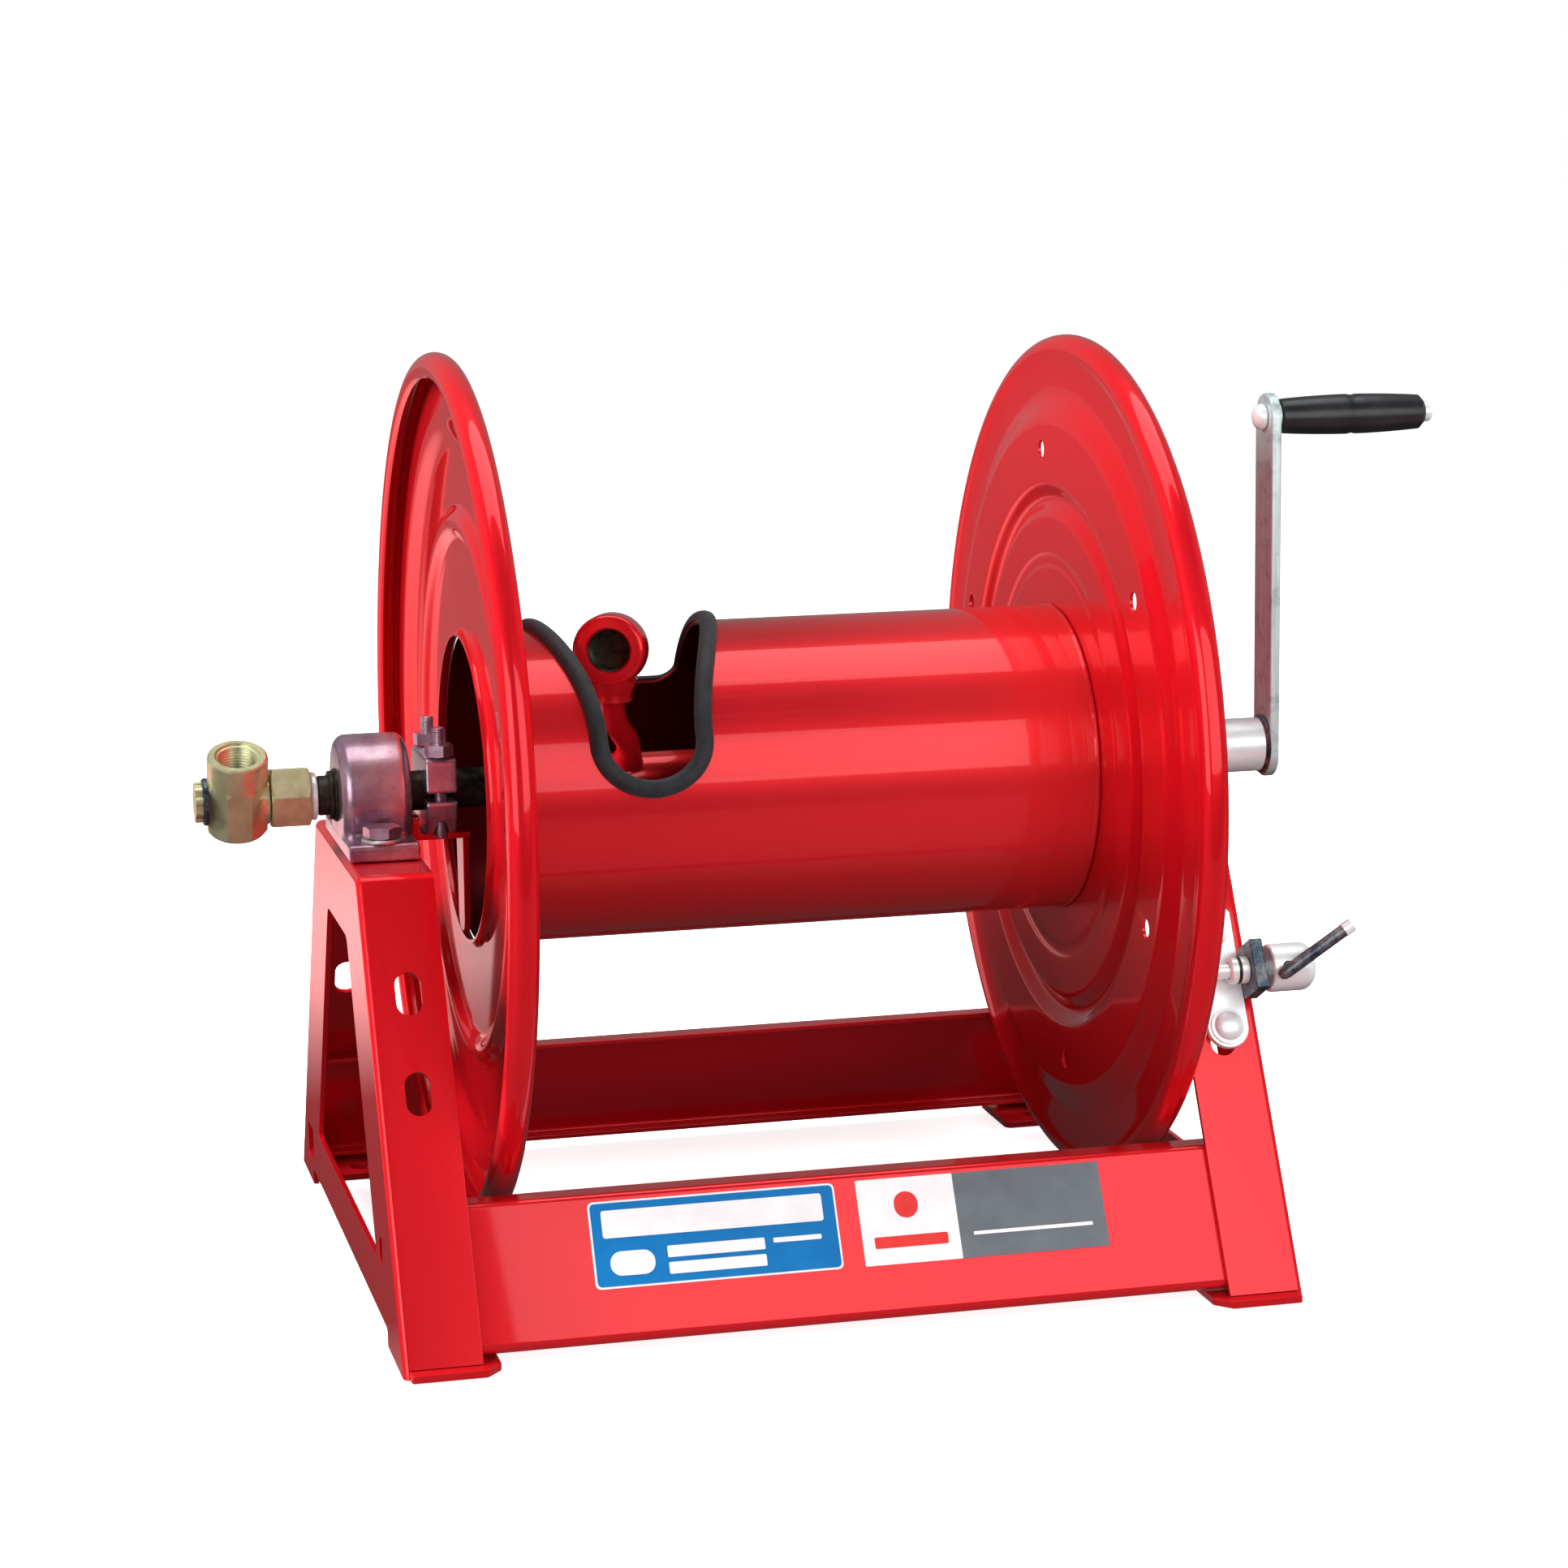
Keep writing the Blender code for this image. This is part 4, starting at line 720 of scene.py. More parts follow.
# ------------ discs
def disc(name, node, face_x, outboard, inner_r, lip):
    section = []
    if lip:
        for k in range(7):
            a = math.radians(90 * k / 6)
            section.append((5.2 - 5.2 * math.sin(a), inner_r + 4.0 - 4.0 * math.cos(a)))
    else:
        section += [(0, inner_r), (0, inner_r + 3), (0, 58), (0, 90), (0.5, 92), (1, 95), (0.5, 98),
                    (0, 100)]
    section += [(0.0, 113.0)]
    for k in range(13):
        t = k / 12
        section.append((2.0 - 2.0 * math.cos(2 * math.pi * t), 115.5 + 17.5 * t))
    section += [(0.0, 137.0), (0.0, 158.0)]
    for k in range(13):
        t = k / 12
        section.append((5.2 * (t * t * (3 - 2 * t)), 160.0 + 16.5 * t))
    section += [(5.2, 180.0), (5.2, 189.0)]
    section += arc(10.4, DISC_R - RIM_R, RIM_R, 202, -48, 20)
    back = []
    n = len(section)
    for i, p in enumerate(section):
        t = (Vector(section[min(i + 1, n - 1)]) - Vector(section[max(i - 1, 0)])).normalized()
        back.append((p[0] + t.y * DISC_SHEET, p[1] - t.x * DISC_SHEET))
    obj = lathe(name, section + back[::-1], on_axle(face_x), X_AXIS * outboard, RED, 192, True)
    tools = []

    def drill(radius_out, angle, r):
        start, end = (around_axle(face_x + side, angle, radius_out) for side in (-15, 15))
        tools.append(rod("tool", start, end, r, RED, 0, 28))

    if lip:
        drill(176.2, 2.0, 2.0)
        drill(124.0, -10.0, 1.6)
        drill(124.0, 170.0, 1.6)
    else:
        for k in range(6):
            drill(HOLE_CIRCLE, HOLE_PHASE + 60 * k, 4.6)
    cut(obj, *tools)
    return part(obj, "reel", node, 45)


disc("disc_left_skin", "disc_left", LEFT_FACE, -1, 71.4, True)
disc("disc_right_skin", "disc_right", RIGHT_FACE, 1, AXLE_R + GAP, False)

# ------------ drum with its cut-out and edge trim


def eased(value):
    value = max(0.0, min(1.0, value))
    return value * value * (3.0 - 2.0 * value)


def cut_half_width(angle, inset=0.0):
    shrink = math.degrees(inset / DRUM_R)
    low, high = CUT_REAR + shrink, CUT_FRONT - shrink
    width = CUT_WIDE - (CUT_WIDE - CUT_NARROW) * eased((angle + 8.0) / 75.0) - inset
    if angle > high - 17.0:
        t = (angle - high + 17.0) / 17.0
        width *= math.sqrt(max(0.0, 1.0 - t * t))
    if angle < low + 9.0:
        t = (low + 9.0 - angle) / 9.0
        width -= 12 * (1.0 - math.sqrt(max(0.0, 1.0 - t * t)))
    return width


def cut_stations(inset, steps):
    shrink = math.degrees(inset / DRUM_R)
    low, high = CUT_REAR + shrink, CUT_FRONT - shrink
    middle, half = (low + high) / 2, (high - low) / 2
    return [middle - half * math.cos(math.pi * k / steps) for k in range(steps + 1)]


def cut_wedge():
    bm = bmesh.new()
    rows = []
    for angle in cut_stations(TRIM_INSET, 72):
        half = max(cut_half_width(angle, TRIM_INSET), 0.8)
        corners = ((-half, 60), (half, 60), (half, 90), (-half, 90))
        rows.append([bm.verts.new(around_axle(CUT_X + dx, angle, r)) for dx, r in corners])
    bm.faces.new(rows[0])
    bm.faces.new(rows[-1][::-1])
    skin(bm, rows)
    return raw("tool", bm, RED)


far_end = RIGHT_FACE - LEFT_FACE - 2 * GAP
shell = [(-1.1, DRUM_R - 2), (-1.1, DRUM_R - 1.0), (0, DRUM_R), (far_end, DRUM_R), (far_end, DRUM_R - 2)]
drum = lathe("drum_skin", shell, on_axle(LEFT_FACE + GAP), X_AXIS, SKIN, 192, True)
cut(drum, cut_wedge())
part(drum, "reel", "drum", 40)


def weld_bead(name, x, radius, inset):
    """Uneven ring of weld where the drum meets a disc."""
    bm = bmesh.new()
    rings = []
    steps, wide = 240, 2.2
    for k in range(steps):
        ripple = 0.18 * math.sin(k * 1.9) + 0.12 * math.sin(k * 0.61 + 1.3)
        section = ((0.0, 0.05), (0.35 * wide, (0.9 + ripple) * 0.75), (wide * 0.7, 0.35 + ripple * 0.4),
                   (wide, 0.03), (0.5 * wide, -0.4))
        rings.append([bm.verts.new(around_axle(x + inset * s, 360 * k / steps, radius + lift))
                      for s, lift in section])
    skin(bm, rings, True)
    return part(raw(name, bm, RED), "reel", (), 70)


weld_bead("drum_weld_right", RIGHT_FACE - 0.35, DRUM_R, -1)
weld_bead("drum_weld_left", LEFT_FACE + 0.35, DRUM_R, 1)


def edge_trim():
    right = [(CUT_X + cut_half_width(angle), angle) for angle in cut_stations(0.0, 110)[:-1]]
    left = [(2 * CUT_X - x, angle) for x, angle in right][::-1]
    path = right + [(CUT_X, CUT_FRONT)] + left
    path += [(CUT_X + 30 * k / 12, CUT_REAR) for k in range(-11, 12)]
    foot_r = DRUM_R + 0.05
    section = []
    for k in range(15):
        a = math.pi * k / 14
        section.append((4.1 * math.cos(a), 0.5 + 4.0 * math.sin(a) ** 0.75))
    section += [(-4.2, 0.0), (-3.4, -0.02), (3.4, -0.02), (4.2, 0.0)]
    bm = bmesh.new()
    rings = []
    for i, (x, angle) in enumerate(path):
        xa, aa = path[i - 1]
        xb, ab = path[(i + 1) % len(path)]
        d = Vector((xb - xa, math.radians(ab - aa) * foot_r)).normalized()
        across = Vector((d.y, -d.x))
        turn = math.degrees(across.y / foot_r)
        rings.append([bm.verts.new(around_axle(x + across.x * w, angle + turn * w, foot_r + h))
                      for w, h in section])
    skin(bm, rings, True)
    return part(raw("cutout_edge_trim", bm, RUBBER), "reel", "cutout_trim", 60)


edge_trim()

# ------------ axle, nipple, riser and outlet
tube_profile = [(0, 0), (0, AXLE_R - 1.6), (1.6, AXLE_R), (291.5, AXLE_R), (291.7, AXLE_R - 1.2),
                (291.7, 0)]
part(lathe("axle_tube", tube_profile, on_axle(-83.7), X_AXIS, RED, 72), "reel", "axle", 35)
nipple = lathe("nipple_tube", [(0, 0), (0, STUB_R - 1), (1, STUB_R), (128.7, STUB_R), (128.7, 0)],
               on_axle(-213), X_AXIS, PIPE, 64)
joined(nipple, thread("tool", on_axle(-212.9), on_axle(-204.4), STUB_R + 0.05, 1.8, PIPE, 64))
part(nipple, "reel", "inlet_nipple", 50)
collar = [(0, STUB_R + 0.15), (0, 10.9), (0.5, 11.4), (2.0, 11.4), (2.4, 10.9), (2.4, STUB_R + 0.15)]
part(lathe("nipple_collar", collar, on_axle(-207.8), X_AXIS, PIPE, 64, True), "reel")

OUTLET = point(-79.6, -30, 289.5)
OUTLET_AXIS = Vector((-math.sin(math.radians(20)), -math.cos(math.radians(20)), 0.05)).normalized()
socket = [(15, 0), (15, 9.9), (1.4, 9.9), (0, 10.9), (0, 14.6), (0.6, 16.0), (2.2, 17.0), (15, 17.0),
          (18, 15.8), (19, 13.5), (19, 0)]
outlet = lathe("outlet_socket", socket, OUTLET, -OUTLET_AXIS, RED, 96)
low_joint = OUTLET - OUTLET_AXIS * 8.5 * MM
neck_foot = low_joint - Z_AXIS * 24 * MM
neck = lathe("tool", [(0, 0), (0, 9.5), (4, 9.8), (10, 12.4), (10, 0)], neck_foot, Z_AXIS, RED, 64)
joined(outlet, neck)
part(outlet, "reel", "hose_outlet", 35)
# the thread lining the outlet's bore is black: painted shade of the deep bore
threads = [(14.8, 0)]
threads += [(14.6 - 0.65 * k, 9.8 if k % 2 else 9.0) for k in range(19)]
threads += [(2.0, 9.85), (14.9, 9.85), (14.9, 0)]
part(lathe("outlet_thread", threads, OUTLET, -OUTLET_AXIS, PIPE, 72), "reel", (), 60)
lean = Vector((0, -0.55, 0.835)).normalized()
foot = on_axle(-67) + lean * (AXLE_R - 1) * MM
bend = [foot, foot + lean * 6 * MM, foot + lean * 12 * MM + Vector((-0.0012, 0, 0.001)),
        foot.lerp(neck_foot, 0.66) + Vector((-0.001, -0.0015, 0)), low_joint - Z_AXIS * 22 * MM]
route = smooth_path(bend, 40)
part(tube("riser_tube", route, [8.4 - 2.6 * min(1, k / 12) ** 0.7 for k in range(41)], RED, 40), "reel",
     "riser_pipe", 60)

# ------------ split clamp and hub bracket
CLAMP_0, CLAMP_1 = -165.0, -150.5
CLAMP_X = (CLAMP_0 + CLAMP_1) / 2


def on_stud(face, up):
    return point(CLAMP_X, face * 18, AXLE_Z + up)


def clamp_half(name, node, up):
    wide, narrow, soft = (25, 23.5, 4) if up > 0 else (25, 19, 6)
    outline = rounded([(-wide, up * 2.0), (wide, up * 2.0), (narrow, up * 18.2), (-narrow, up * 18.2)],
                      [1.5, 1.5, soft, soft], 6)
    obj = prism(name, outline, on_axle(CLAMP_0), Y_AXIS, Z_AXIS, X_AXIS, CLAMP_1 - CLAMP_0, MAUVE)
    baked(rounded_edges(obj, 1.1, 3, 50))
    cut(obj, rod("tool", on_axle(CLAMP_0 - 5), on_axle(CLAMP_1 + 5), STUB_R + GAP, MAUVE, 0, 64),
        *[rod("tool", on_stud(face, -40), on_stud(face, 40), 3.6, MAUVE) for face in (-1, 1)])
    return part(obj, "reel", node, 30)


clamp_half("clamp_cap", "clamp_upper", 1)
clamp_half("clamp_saddle", "clamp_lower", -1)
for end, face in ENDS:
    stud = thread("clamp_screw_" + end, on_stud(face, -19.5), on_stud(face, 32), 3.1, 1.0, MAUVE, 32)
    part(stud, "reel", "clamp_stud_" + end, 60)
    nut = hexagon("clamp_lock_nut_" + end, on_stud(face, 18.6), on_stud(face, 24.4), 12, MAUVE, 8, 3.3)
    part(nut, "reel", "clamp_nut_" + end)

saddle_z = AXLE_Z - 18.5
bracket = prism("hub_bracket_plate", rectangle(-170, -3, -143.5, 0), point(0, -13, saddle_z),
                X_AXIS, Z_AXIS, Y_AXIS, 26, RED)
arm = prism("tool", rounded([(-10, 0), (10, 0), (8, -49.5), (-8, -49.5)], [0, 0, 7, 7], 6),
            point(-146.5, 0, saddle_z), Y_AXIS, Z_AXIS, X_AXIS, 3, RED)
fin = prism("tool", rounded(rectangle(-13, -3, 13, 8), [0, 0, 3, 3], 5), point(-170, 0, saddle_z), Y_AXIS,
            Z_AXIS, X_AXIS, 3, RED)
joined(bracket, arm, fin)
part(rounded_edges(bracket, 0.5, 2, 50), "reel", "hub_bracket")

# ------------ inlet swivel
ring = [(0, 6.0), (0, 10.6), (0.6, 11.2), (2.1, 11.2), (2.7, 10.6), (2.7, 6.0)]
part(lathe("swivel_washer", ring, on_axle(-216.0), X_AXIS, CHROME, 64, True), "reel", "swivel_ring")
nut = hexagon("swivel_hex", on_axle(-234.8), on_axle(-216.3), 26.5, BRASS, 22, 6.0)
part(rounded_edges(nut, 0.35, 2, 25), "reel", "swivel_nut", 24)
centre = on_axle(-249.6)
corner = 13.6 / math.cos(math.pi / 8)
octagon = arc(0, 0, corner, 22.5, 337.5, 7)
base = centre - PORT_UP * 15.4 * MM
body = prism("swivel_casting", octagon, base, X_AXIS, PORT_SIDE, PORT_UP, 27.0, BRASS)
turned = [(-1, 0), (-1, 12.6), (2.4, corner + 0.3), (24.2, corner + 0.3), (27, 13.9), (40, 13.9), (40, 0)]
trim_cone = lathe("tool", turned, base, PORT_UP, BRASS, 96)
cut(body, trim_cone, operation="INTERSECT")
port = lathe("tool", [(0, 0), (0, 13.2), (8, 13.9), (20.8, 14.0), (22.1, 13.6), (22.6, 12.8), (22.6, 0)],
             centre + PORT_UP * 2 * MM, PORT_UP, BRASS, 96)
arm = lathe("tool", [(0, 0), (0, 12.0), (13.6, 12.0), (14.2, 11.4), (14.2, 0)], centre, X_AXIS, BRASS, 64)
joined(body, port, arm)
bore = [(2, 0), (2, 7)]
for k in range(12):
    z = 6 + 1.5 * k
    bore += [(z, 9.9), (z + 0.75, 9.2)]
bore += [(23.4, 9.9), (24.0, 10.4), (30, 12.0), (30, 0)]
cut(body, lathe("tool", bore, centre, PORT_UP, BRASS, 80))
part(rounded_edges(body, 0.4, 2, 26), "swivel", "swivel_elbow", 26)
flange = [(0, 0), (0, 10.4), (0.6, 11.0), (2.1, 11.0), (2.1, 0)]
part(lathe("swivel_shoulder", flange, on_axle(-265.6), X_AXIS, STEEL, 64), "swivel", "swivel_plug_flange")
lobes = []
for k in range(144):
    a = 2 * math.pi * k / 144
    r = 8.9 + 0.6 * math.tanh(3.2 * math.sin(9 * a))
    lobes.append((r * math.cos(a), r * math.sin(a)))
plug = prism("swivel_knurl", lobes, on_axle(-265.8), Y_AXIS, Z_AXIS, -X_AXIS, 3.4, BRASS)
cut(plug, lathe("tool", [(-1, 0), (-1, 3.2), (1.8, 2.2), (1.8, 0)], on_axle(-269.2), X_AXIS, BRASS, 6))
part(rounded_edges(plug, 0.5, 2, 50), "swivel", "swivel_plug", 40)

# ------------ crank
sleeve = [(0, 6.0), (0, SLEEVE_R - 0.8), (0.8, SLEEVE_R), (43.6, SLEEVE_R), (44.4, SLEEVE_R - 0.8),
          (44.4, 6.0)]
part(lathe("crank_hub", sleeve, on_axle(208.3), X_AXIS, CHROME, 72, True), "reel", "crank_sleeve")
half_arm, arm_x = 11.5, 253
outline = arc(0, CRANK_R, half_arm, 0, 180, 24) + arc(0, -4.5, half_arm, 180, 360, 24)
arm = prism("crank_bar", outline, on_axle(arm_x), Y_AXIS, Z_AXIS, X_AXIS, 5, STRIP)
baked(rounded_edges(arm, 0.9, 3, 60))
cut(arm, rod("tool", on_grip(250), on_grip(261), 4.0, STRIP))
part(arm, "reel", "crank_arm", 30)
seam = lathe("crank_weld", [(0, 13.0), (0, 14.2), (-0.6, 14.6), (-1.6, 14.0), (-2.4, 13.15)],
             on_axle(252.8), X_AXIS, STEEL, 72, True)
part(seam, "reel", (), 60)
dome = [(-3.2, 0), (-3.2, 3.6), (-3.2, 3.9), (0, 3.9), (0, 6.1), (-0.4, 6.3), (-1.4, 6.3)]
dome += dome_profile(-1.6, -4.0, 6.2, range(8, 90, 9)) + [(-5.6, 0)]
part(lathe("crank_cap", dome, on_grip(252.7), X_AXIS, CHROME, 48), "reel", "spindle_cap_nut", 50)
spindle = [(-2.9, 0), (-2.9, 3.7), (82.5, 3.7), (82.5, 5.0), (85.2, 5.0), (86.1, 4.4), (86.5, 3.2),
           (86.5, 0)]
part(lathe("grip_pin", spindle, on_grip(arm_x), X_AXIS, CHROME, 48), "reel", "grip_spindle")
washer = [(0, 4.1), (0, 7.2), (1.4, 7.2), (1.4, 4.1)]
part(lathe("grip_washer", washer, on_grip(258.4), X_AXIS, CHROME, 48, True), "reel")
length = 74.8
grip = [(0, 4.0), (0, 7.4), (0.3, 7.9), (0.9, 8.3)]
for k in range(1, 30):
    t = k / 30
    r = 8.3 + 1.62 * math.sin(math.pi * min(1, t * 0.98)) ** 0.85 - 0.3 * t
    if abs(t - 0.5) < 0.012:
        r -= 0.5
    grip.append((length * t, r))
grip += [(length - 1.6, 7.4), (length - 0.6, 6.5), (length, 5.2), (length, 4.0)]
handle = lathe("crank_handle", grip, on_grip(260.4), X_AXIS, GRIP, 96, True)
part(handle, "grip", "crank_grip", 40)

# ------------ spring pin lock on the front right leg
LOCK_X = 189.5
BOLT_LOW, BOLT_HIGH, STRAP_TOP, STRAP_THICK = 112.8, 152.5, 163.0, 3.5


def on_leg(x, z, lift=0.0):
    return point(x, -leg_y(z), z) + OUT * lift * MM


rise = (STRAP_TOP - BOLT_LOW) / math.cos(TILT)
outline = arc(0, 0, 10, 180, 360, 20) + [(10, rise - 2), (8, rise), (-8, rise), (-10, rise - 2)]
strap = prism("lock_strip", outline, on_leg(LOCK_X, BOLT_LOW, GAP), X_AXIS, ALONG, OUT, STRAP_THICK,
              CHROME)
cut(strap, *[rod("tool", on_leg(LOCK_X, z, -6), on_leg(LOCK_X, z, 9), 3.6, CHROME)
             for z in (BOLT_LOW, BOLT_HIGH)])
part(rounded_edges(strap, 0.6, 3, 50), "frame", "lock_strap")
for tag, z in (("lower", BOLT_LOW), ("upper", BOLT_HIGH)):
    foot = on_leg(LOCK_X, z)
    seat = GAP + STRAP_THICK + 0.1
    head = [(-9, 0), (-9, 3.0), (seat, 3.0), (seat, 8.3), (seat + 1.0, 8.3), (seat + 1.1, 6.9),
            (seat + 1.6, 6.9)]
    head += dome_profile(seat + 1.6, 2.9, 6.8, range(6, 90, 7)) + [(seat + 4.5, 0)]
    part(lathe("lock_screw_" + tag, head, foot, OUT, CHROME, 56), "frame", "lock_bolt_" + tag, 40)
    nut = hexagon("lock_back_nut_" + tag, on_leg(LOCK_X, z, -8.6), on_leg(LOCK_X, z, -2.8), 11, ZINC, 0,
                  3.3)
    part(nut, "frame", "lock_nut_" + tag)

PIN = point(0, PIN_Y, PIN_Z)


def on_pin(x):
    return PIN + X_AXIS * x * MM


lift_mid = (PIN - on_leg(0, PIN_Z)).dot(OUT) / MM
foot = PIN - OUT * lift_mid * MM
# the guide block's dark blue steel is painted shade on a grey metal lug
guide = prism("lock_guide", rounded(rectangle(-12, 4.1, 12, lift_mid + 10.5), 1.2, 4),
              foot + X_AXIS * 199.5 * MM, ALONG, OUT, X_AXIS, 6.0, STEEL)
cut(guide, rod("tool", on_pin(190), on_pin(215), 3.9, STEEL))
part(rounded_edges(guide, 0.7, 3, 50), "frame", "lock_guide_block")
nose = [(0, 3.9), (0, 5.7), (0.6, 6.3), (3.6, 6.3), (3.9, 5.9), (4.6, 5.9), (4.9, 6.3), (8.7, 6.3),
        (8.7, 3.9)]
part(lathe("lock_barrel", nose, on_pin(190.5), X_AXIS, CHROME, 56, True), "frame", "lock_nose")
band = [(0, 6.0), (0, 6.35), (1.6, 6.35), (1.6, 6.0)]
part(lathe("lock_barrel_band", band, on_pin(194.0), X_AXIS, PIPE, 56, True), "frame")
plunger = rod("lock_plunger", on_pin(151.5), on_pin(209.0), 3.6, CHROME, 1.0)
part(plunger, "pin", "lock_pin")
lever_tilt = math.radians(32.5)
lever_dir = Vector((math.cos(lever_tilt), 0, math.sin(lever_tilt)))
lever_low = PIN + Vector((210.5, -14.7, -0.8)) * MM
peg_at = lever_low + lever_dir * 6.5 * MM
knob = [(0, 0), (0, 10.2), (0.6, 11.0), (1.4, 11.2), (16, 11.2)]
knob += dome_profile(16, 7, 11.2, range(8, 90, 8), 0.8) + [(23, 0)]
body = lathe("lock_cap", knob, on_pin(209.3), X_AXIS, CHROME, 72)
cut(body, rod("tool", peg_at, peg_at + Y_AXIS * 12 * MM, 2.6, CHROME))
part(body, "pin_knob", "lock_knob", 35)
bar = [(0, 0), (0, 1.6), (1.6, 2.7), (4, 3.0), (40.1, 3.0), (40.5, 2.6), (40.5, 1.7), (36, 1.7), (36, 0)]
lever = lathe("lock_lever", bar, lever_low, lever_dir, STEEL, 48)
joined(lever, rod("tool", peg_at + Y_AXIS * MM, peg_at + Y_AXIS * 11 * MM, 2.3, STEEL))
part(lever, "pin_knob", "lock_cross_bar", 40)
tip = [(0, 3.02), (0, 3.3), (4.6, 3.3), (5.0, 2.9), (5.0, 1.9), (4.4, 1.9), (4.4, 3.02)]
tip_foot = lever_low + lever_dir * 36.4 * MM
part(lathe("lock_lever_tip", tip, tip_foot, lever_dir, CHROME, 48, True), "pin_knob")

# ------------ floor, lights, camera (metres)
FLOOR_HALF, FLOOR_DROP = 6.0, 0.0004


def camera_or(tree, seen, mirrored, output):
    """The camera sees one shader and every other ray meets the other one."""
    path = tree.nodes.new("ShaderNodeLightPath")
    choose = tree.nodes.new("ShaderNodeMixShader")
    tree.links.new(path.outputs["Is Camera Ray"], choose.inputs["Fac"])
    tree.links.new(mirrored.outputs[0], choose.inputs[1])
    tree.links.new(seen.outputs[0], choose.inputs[2])
    tree.links.new(choose.outputs[0], output.inputs["Surface"])


def studio_floor():
    """Pale floor; what the paint mirrors of it is set apart from how the camera sees it."""
    n = Nodes("pale_floor", Roughness=0.7, Specular_IOR_Level=0.2)
    shade = n.ramp(n.noise(3.0, 3.0), 0.3, 0.7, 0.0, 1.0)
    n.set("Base Color", n.mix(shade, (0.80, 0.80, 0.80), (0.83, 0.83, 0.83)))
    n.bsdf.inputs["Emission Color"].default_value = (1, 1, 1, 1)
    spread = n.node("ShaderNodeVectorMath")
    spread.operation = "LENGTH"
    n.tree.links.new(n.place, spread.inputs[0])
    n.set("Emission Strength", n.ramp(spread.outputs["Value"], 0.45, 1.2, 0.80, 1.0))
    # glow behind the reel at the left, behind it at the right, and in front of it
    near = n.ramp(n.axis("Y"), 0.30, 0.62, 0.06, 1.15)
    fade = n.ramp(n.axis("Y"), 0.8, 1.6, 1.0, 0.12)
    left = n.ramp(n.axis("X"), -0.34, -0.18, 1.0, 0.0)
    far = n.ramp(n.axis("Y"), 1.1, 1.9, 0.05, 0.26)
    left_part = n.math("MULTIPLY", left, n.math("MULTIPLY", near, fade))
    right_part = n.math("MULTIPLY", n.math("SUBTRACT", 1.0, left), far)
    front = n.math("MULTIPLY", n.ramp(n.axis("Y"), -0.80, -0.78, 0.0, 0.34),
                   n.ramp(n.axis("Y"), -0.22, -0.10, 1.0, 0.0))
    tint = n.mix(n.math("MULTIPLY", front, 3.0), (1.0, 1.0, 1.0), (1.2, 0.48, 0.50))
    tint = n.mix(left_part, tint, (1.45, 0.72, 0.70))
    strength = n.math("ADD", n.math("ADD", left_part, right_part), front)
    glow = n.node("ShaderNodeEmission", Strength=strength, Color=tint)
    output = [node for node in n.tree.nodes if node.type == "OUTPUT_MATERIAL"][0]
    camera_or(n.tree, n.bsdf, glow, output)
    bm = bmesh.new()
    bmesh.ops.create_grid(bm, x_segments=1, y_segments=1, size=FLOOR_HALF)
    floor = raw("studio_floor", bm, n.mat)
    floor.location.z = -FLOOR_DROP


def area_light(name, at, look, width, height, radiance, mirrored=True):
    """Softbox; radiance is what a mirror would show, and a fill isn't mirrored at all."""
    data = bpy.data.lights.new(name, "AREA")
    data.shape = "RECTANGLE"
    data.size, data.size_y = width, height
    data.energy = radiance * width * height * math.pi
    obj = placed(name, data)
    obj.location = at
    obj.rotation_euler = (Vector(look) - Vector(at)).to_track_quat("-Z", "Y").to_euler()
    obj.visible_camera = False
    obj.visible_glossy = mirrored


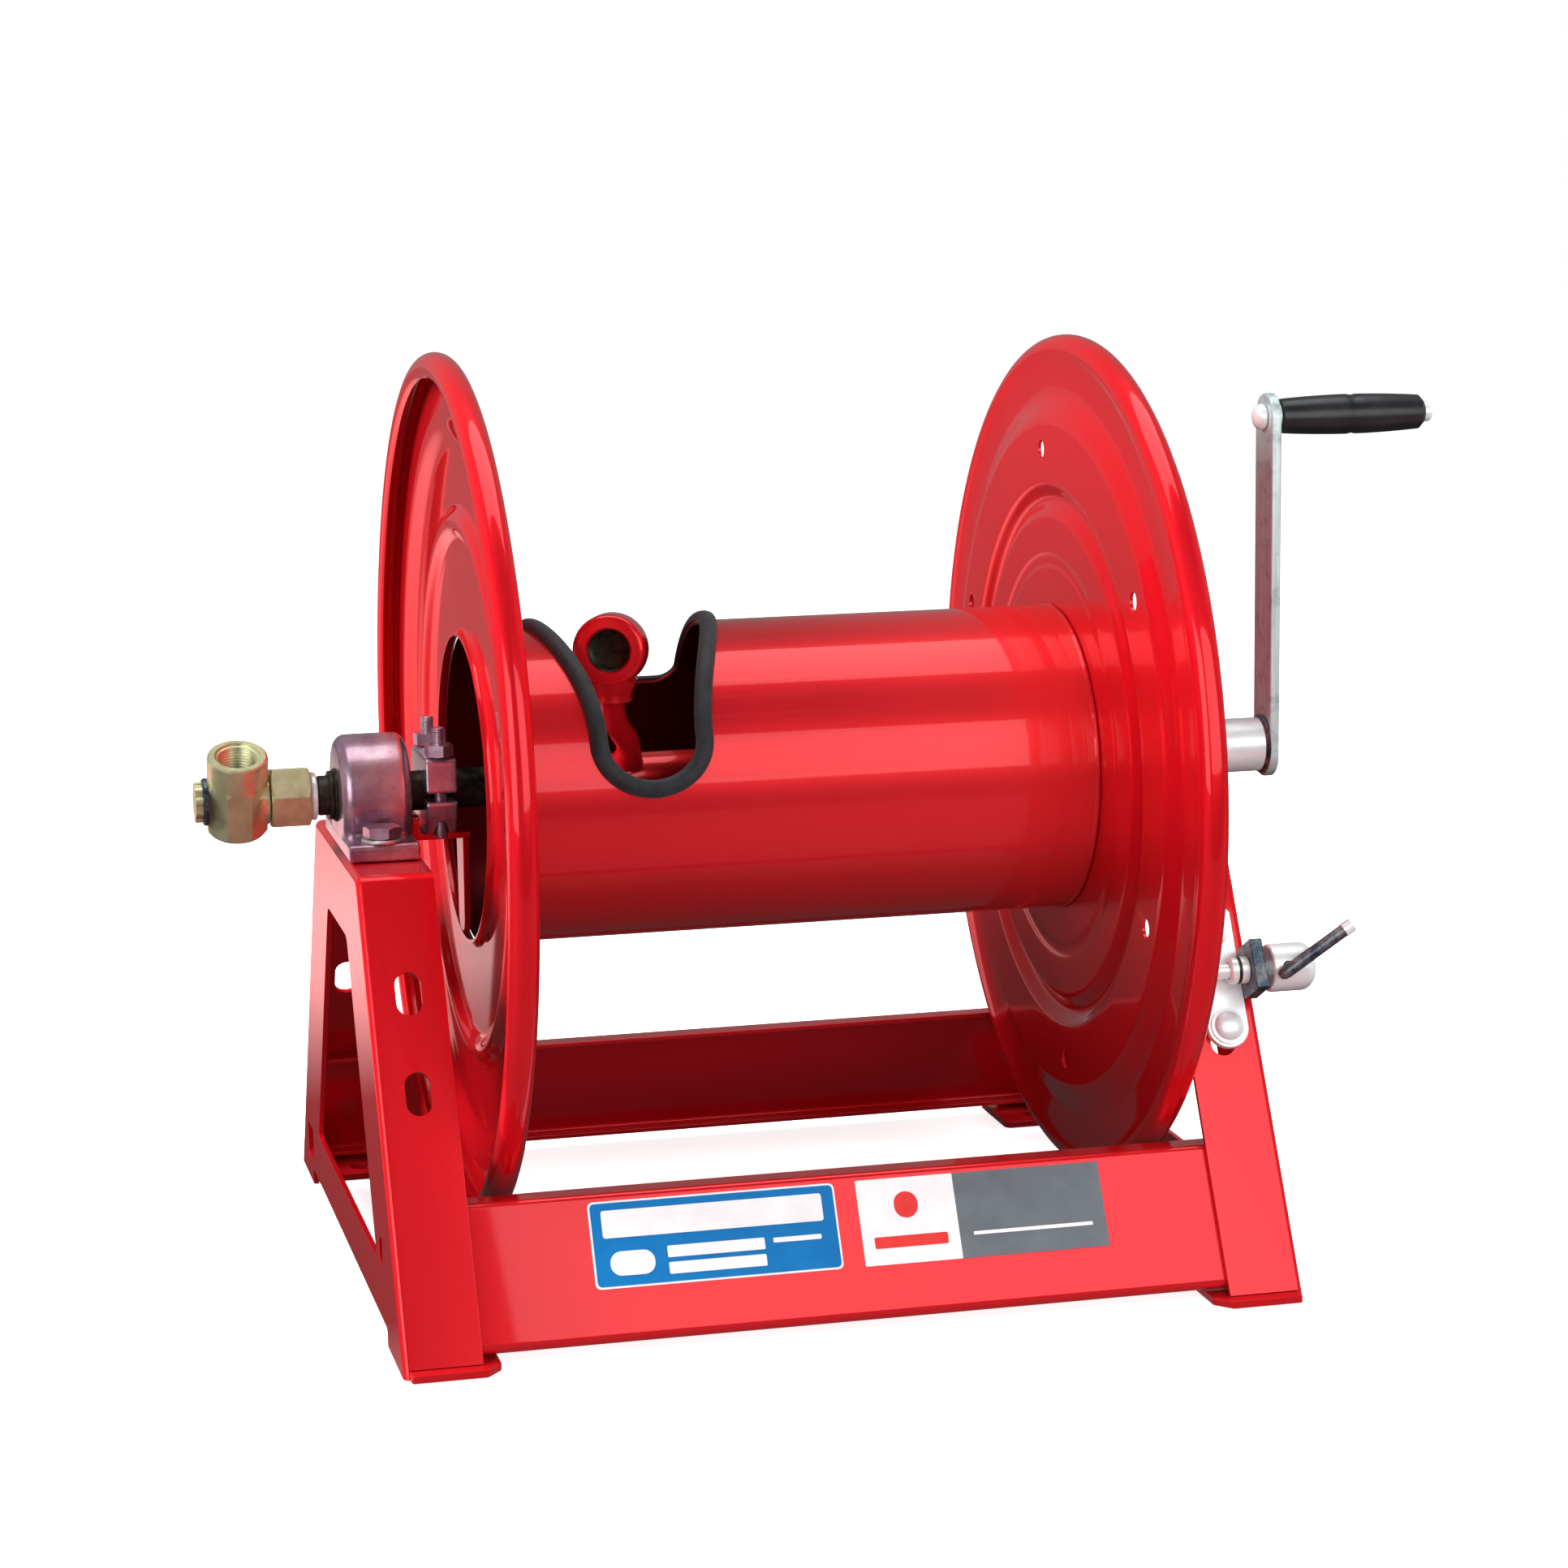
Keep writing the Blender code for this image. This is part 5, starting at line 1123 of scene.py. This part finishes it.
def studio_world():
    """White to the camera; elsewhere dim, and dimmest in front."""
    world = bpy.data.worlds.new("studio")
    bpy.context.scene.world = world
    world.use_nodes = True
    tree = world.node_tree
    tree.nodes.clear()
    out = tree.nodes.new("ShaderNodeOutputWorld")
    ambient = tree.nodes.new("ShaderNodeBackground")
    shown = tree.nodes.new("ShaderNodeBackground")
    shown.inputs["Color"].default_value = (1, 1, 1, 1)
    shown.inputs["Strength"].default_value = 1.0
    coords = tree.nodes.new("ShaderNodeTexCoord")
    split = tree.nodes.new("ShaderNodeSeparateXYZ")
    spread = tree.nodes.new("ShaderNodeMapRange")
    for socket, value in (("From Min", -0.2), ("From Max", 0.6), ("To Min", 0.10), ("To Max", 0.27)):
        spread.inputs[socket].default_value = value
    tree.links.new(coords.outputs["Generated"], split.inputs[0])
    tree.links.new(split.outputs["Y"], spread.inputs["Value"])
    tree.links.new(spread.outputs["Result"], ambient.inputs["Strength"])
    camera_or(tree, shown, ambient, out)


def studio_camera():
    """Low three-quarter view from the swivel's side."""
    place = Vector((-412.7 - MID_X, -1736.6, 531.1)) * MM
    azimuth, elevation, roll = math.radians(-13.7), math.radians(9.7), math.radians(-0.8)
    flat = math.cos(elevation)
    back = Vector((math.sin(azimuth) * flat, -math.cos(azimuth) * flat, math.sin(elevation)))
    right = Vector((math.cos(azimuth), math.sin(azimuth), 0.0))
    up = back.cross(right)
    right, up = right * math.cos(roll) + up * math.sin(roll), up * math.cos(roll) - right * math.sin(roll)
    camera = placed("camera", bpy.data.cameras.new("camera"))
    camera.matrix_world = Matrix.Translation(place) @ Matrix((right, up, back)).transposed().to_4x4()
    camera.data.sensor_width = 36.0
    camera.data.lens = 87.11
    camera.data.shift_y = -0.0110
    camera.data.clip_start = 0.05
    bpy.context.scene.camera = camera


studio_floor()
area_light("front_softbox", (0.35, -0.673, 0.50), (0.35, 0.3, 0.50), 0.88, 0.46, 1.95)
area_light("top_softbox", (0.0, 0.05, 1.25), (0.0, 0.05, 0), 1.3, 0.62, 2.1)
area_light("side_softbox", (-1.5, -1.3, 0.75), (-0.1, 0.0, 0.25), 1.2, 1.3, 2.6)
area_light("key_fill", (-2.0, 0.30, 1.30), (0.0, 0.0, 0.2), 1.3, 1.2, 26.0, False)
area_light("right_fill", (2.0, 0.05, 1.1), (0.0, 0.0, 0.2), 1.3, 1.2, 13.0, False)
area_light("low_fill", (0.1, -2.2, 0.42), (0.0, 0.0, 0.1), 1.6, 0.4, 12.5, False)
studio_world()
studio_camera()
bpy.context.scene.view_settings.view_transform = "Standard"
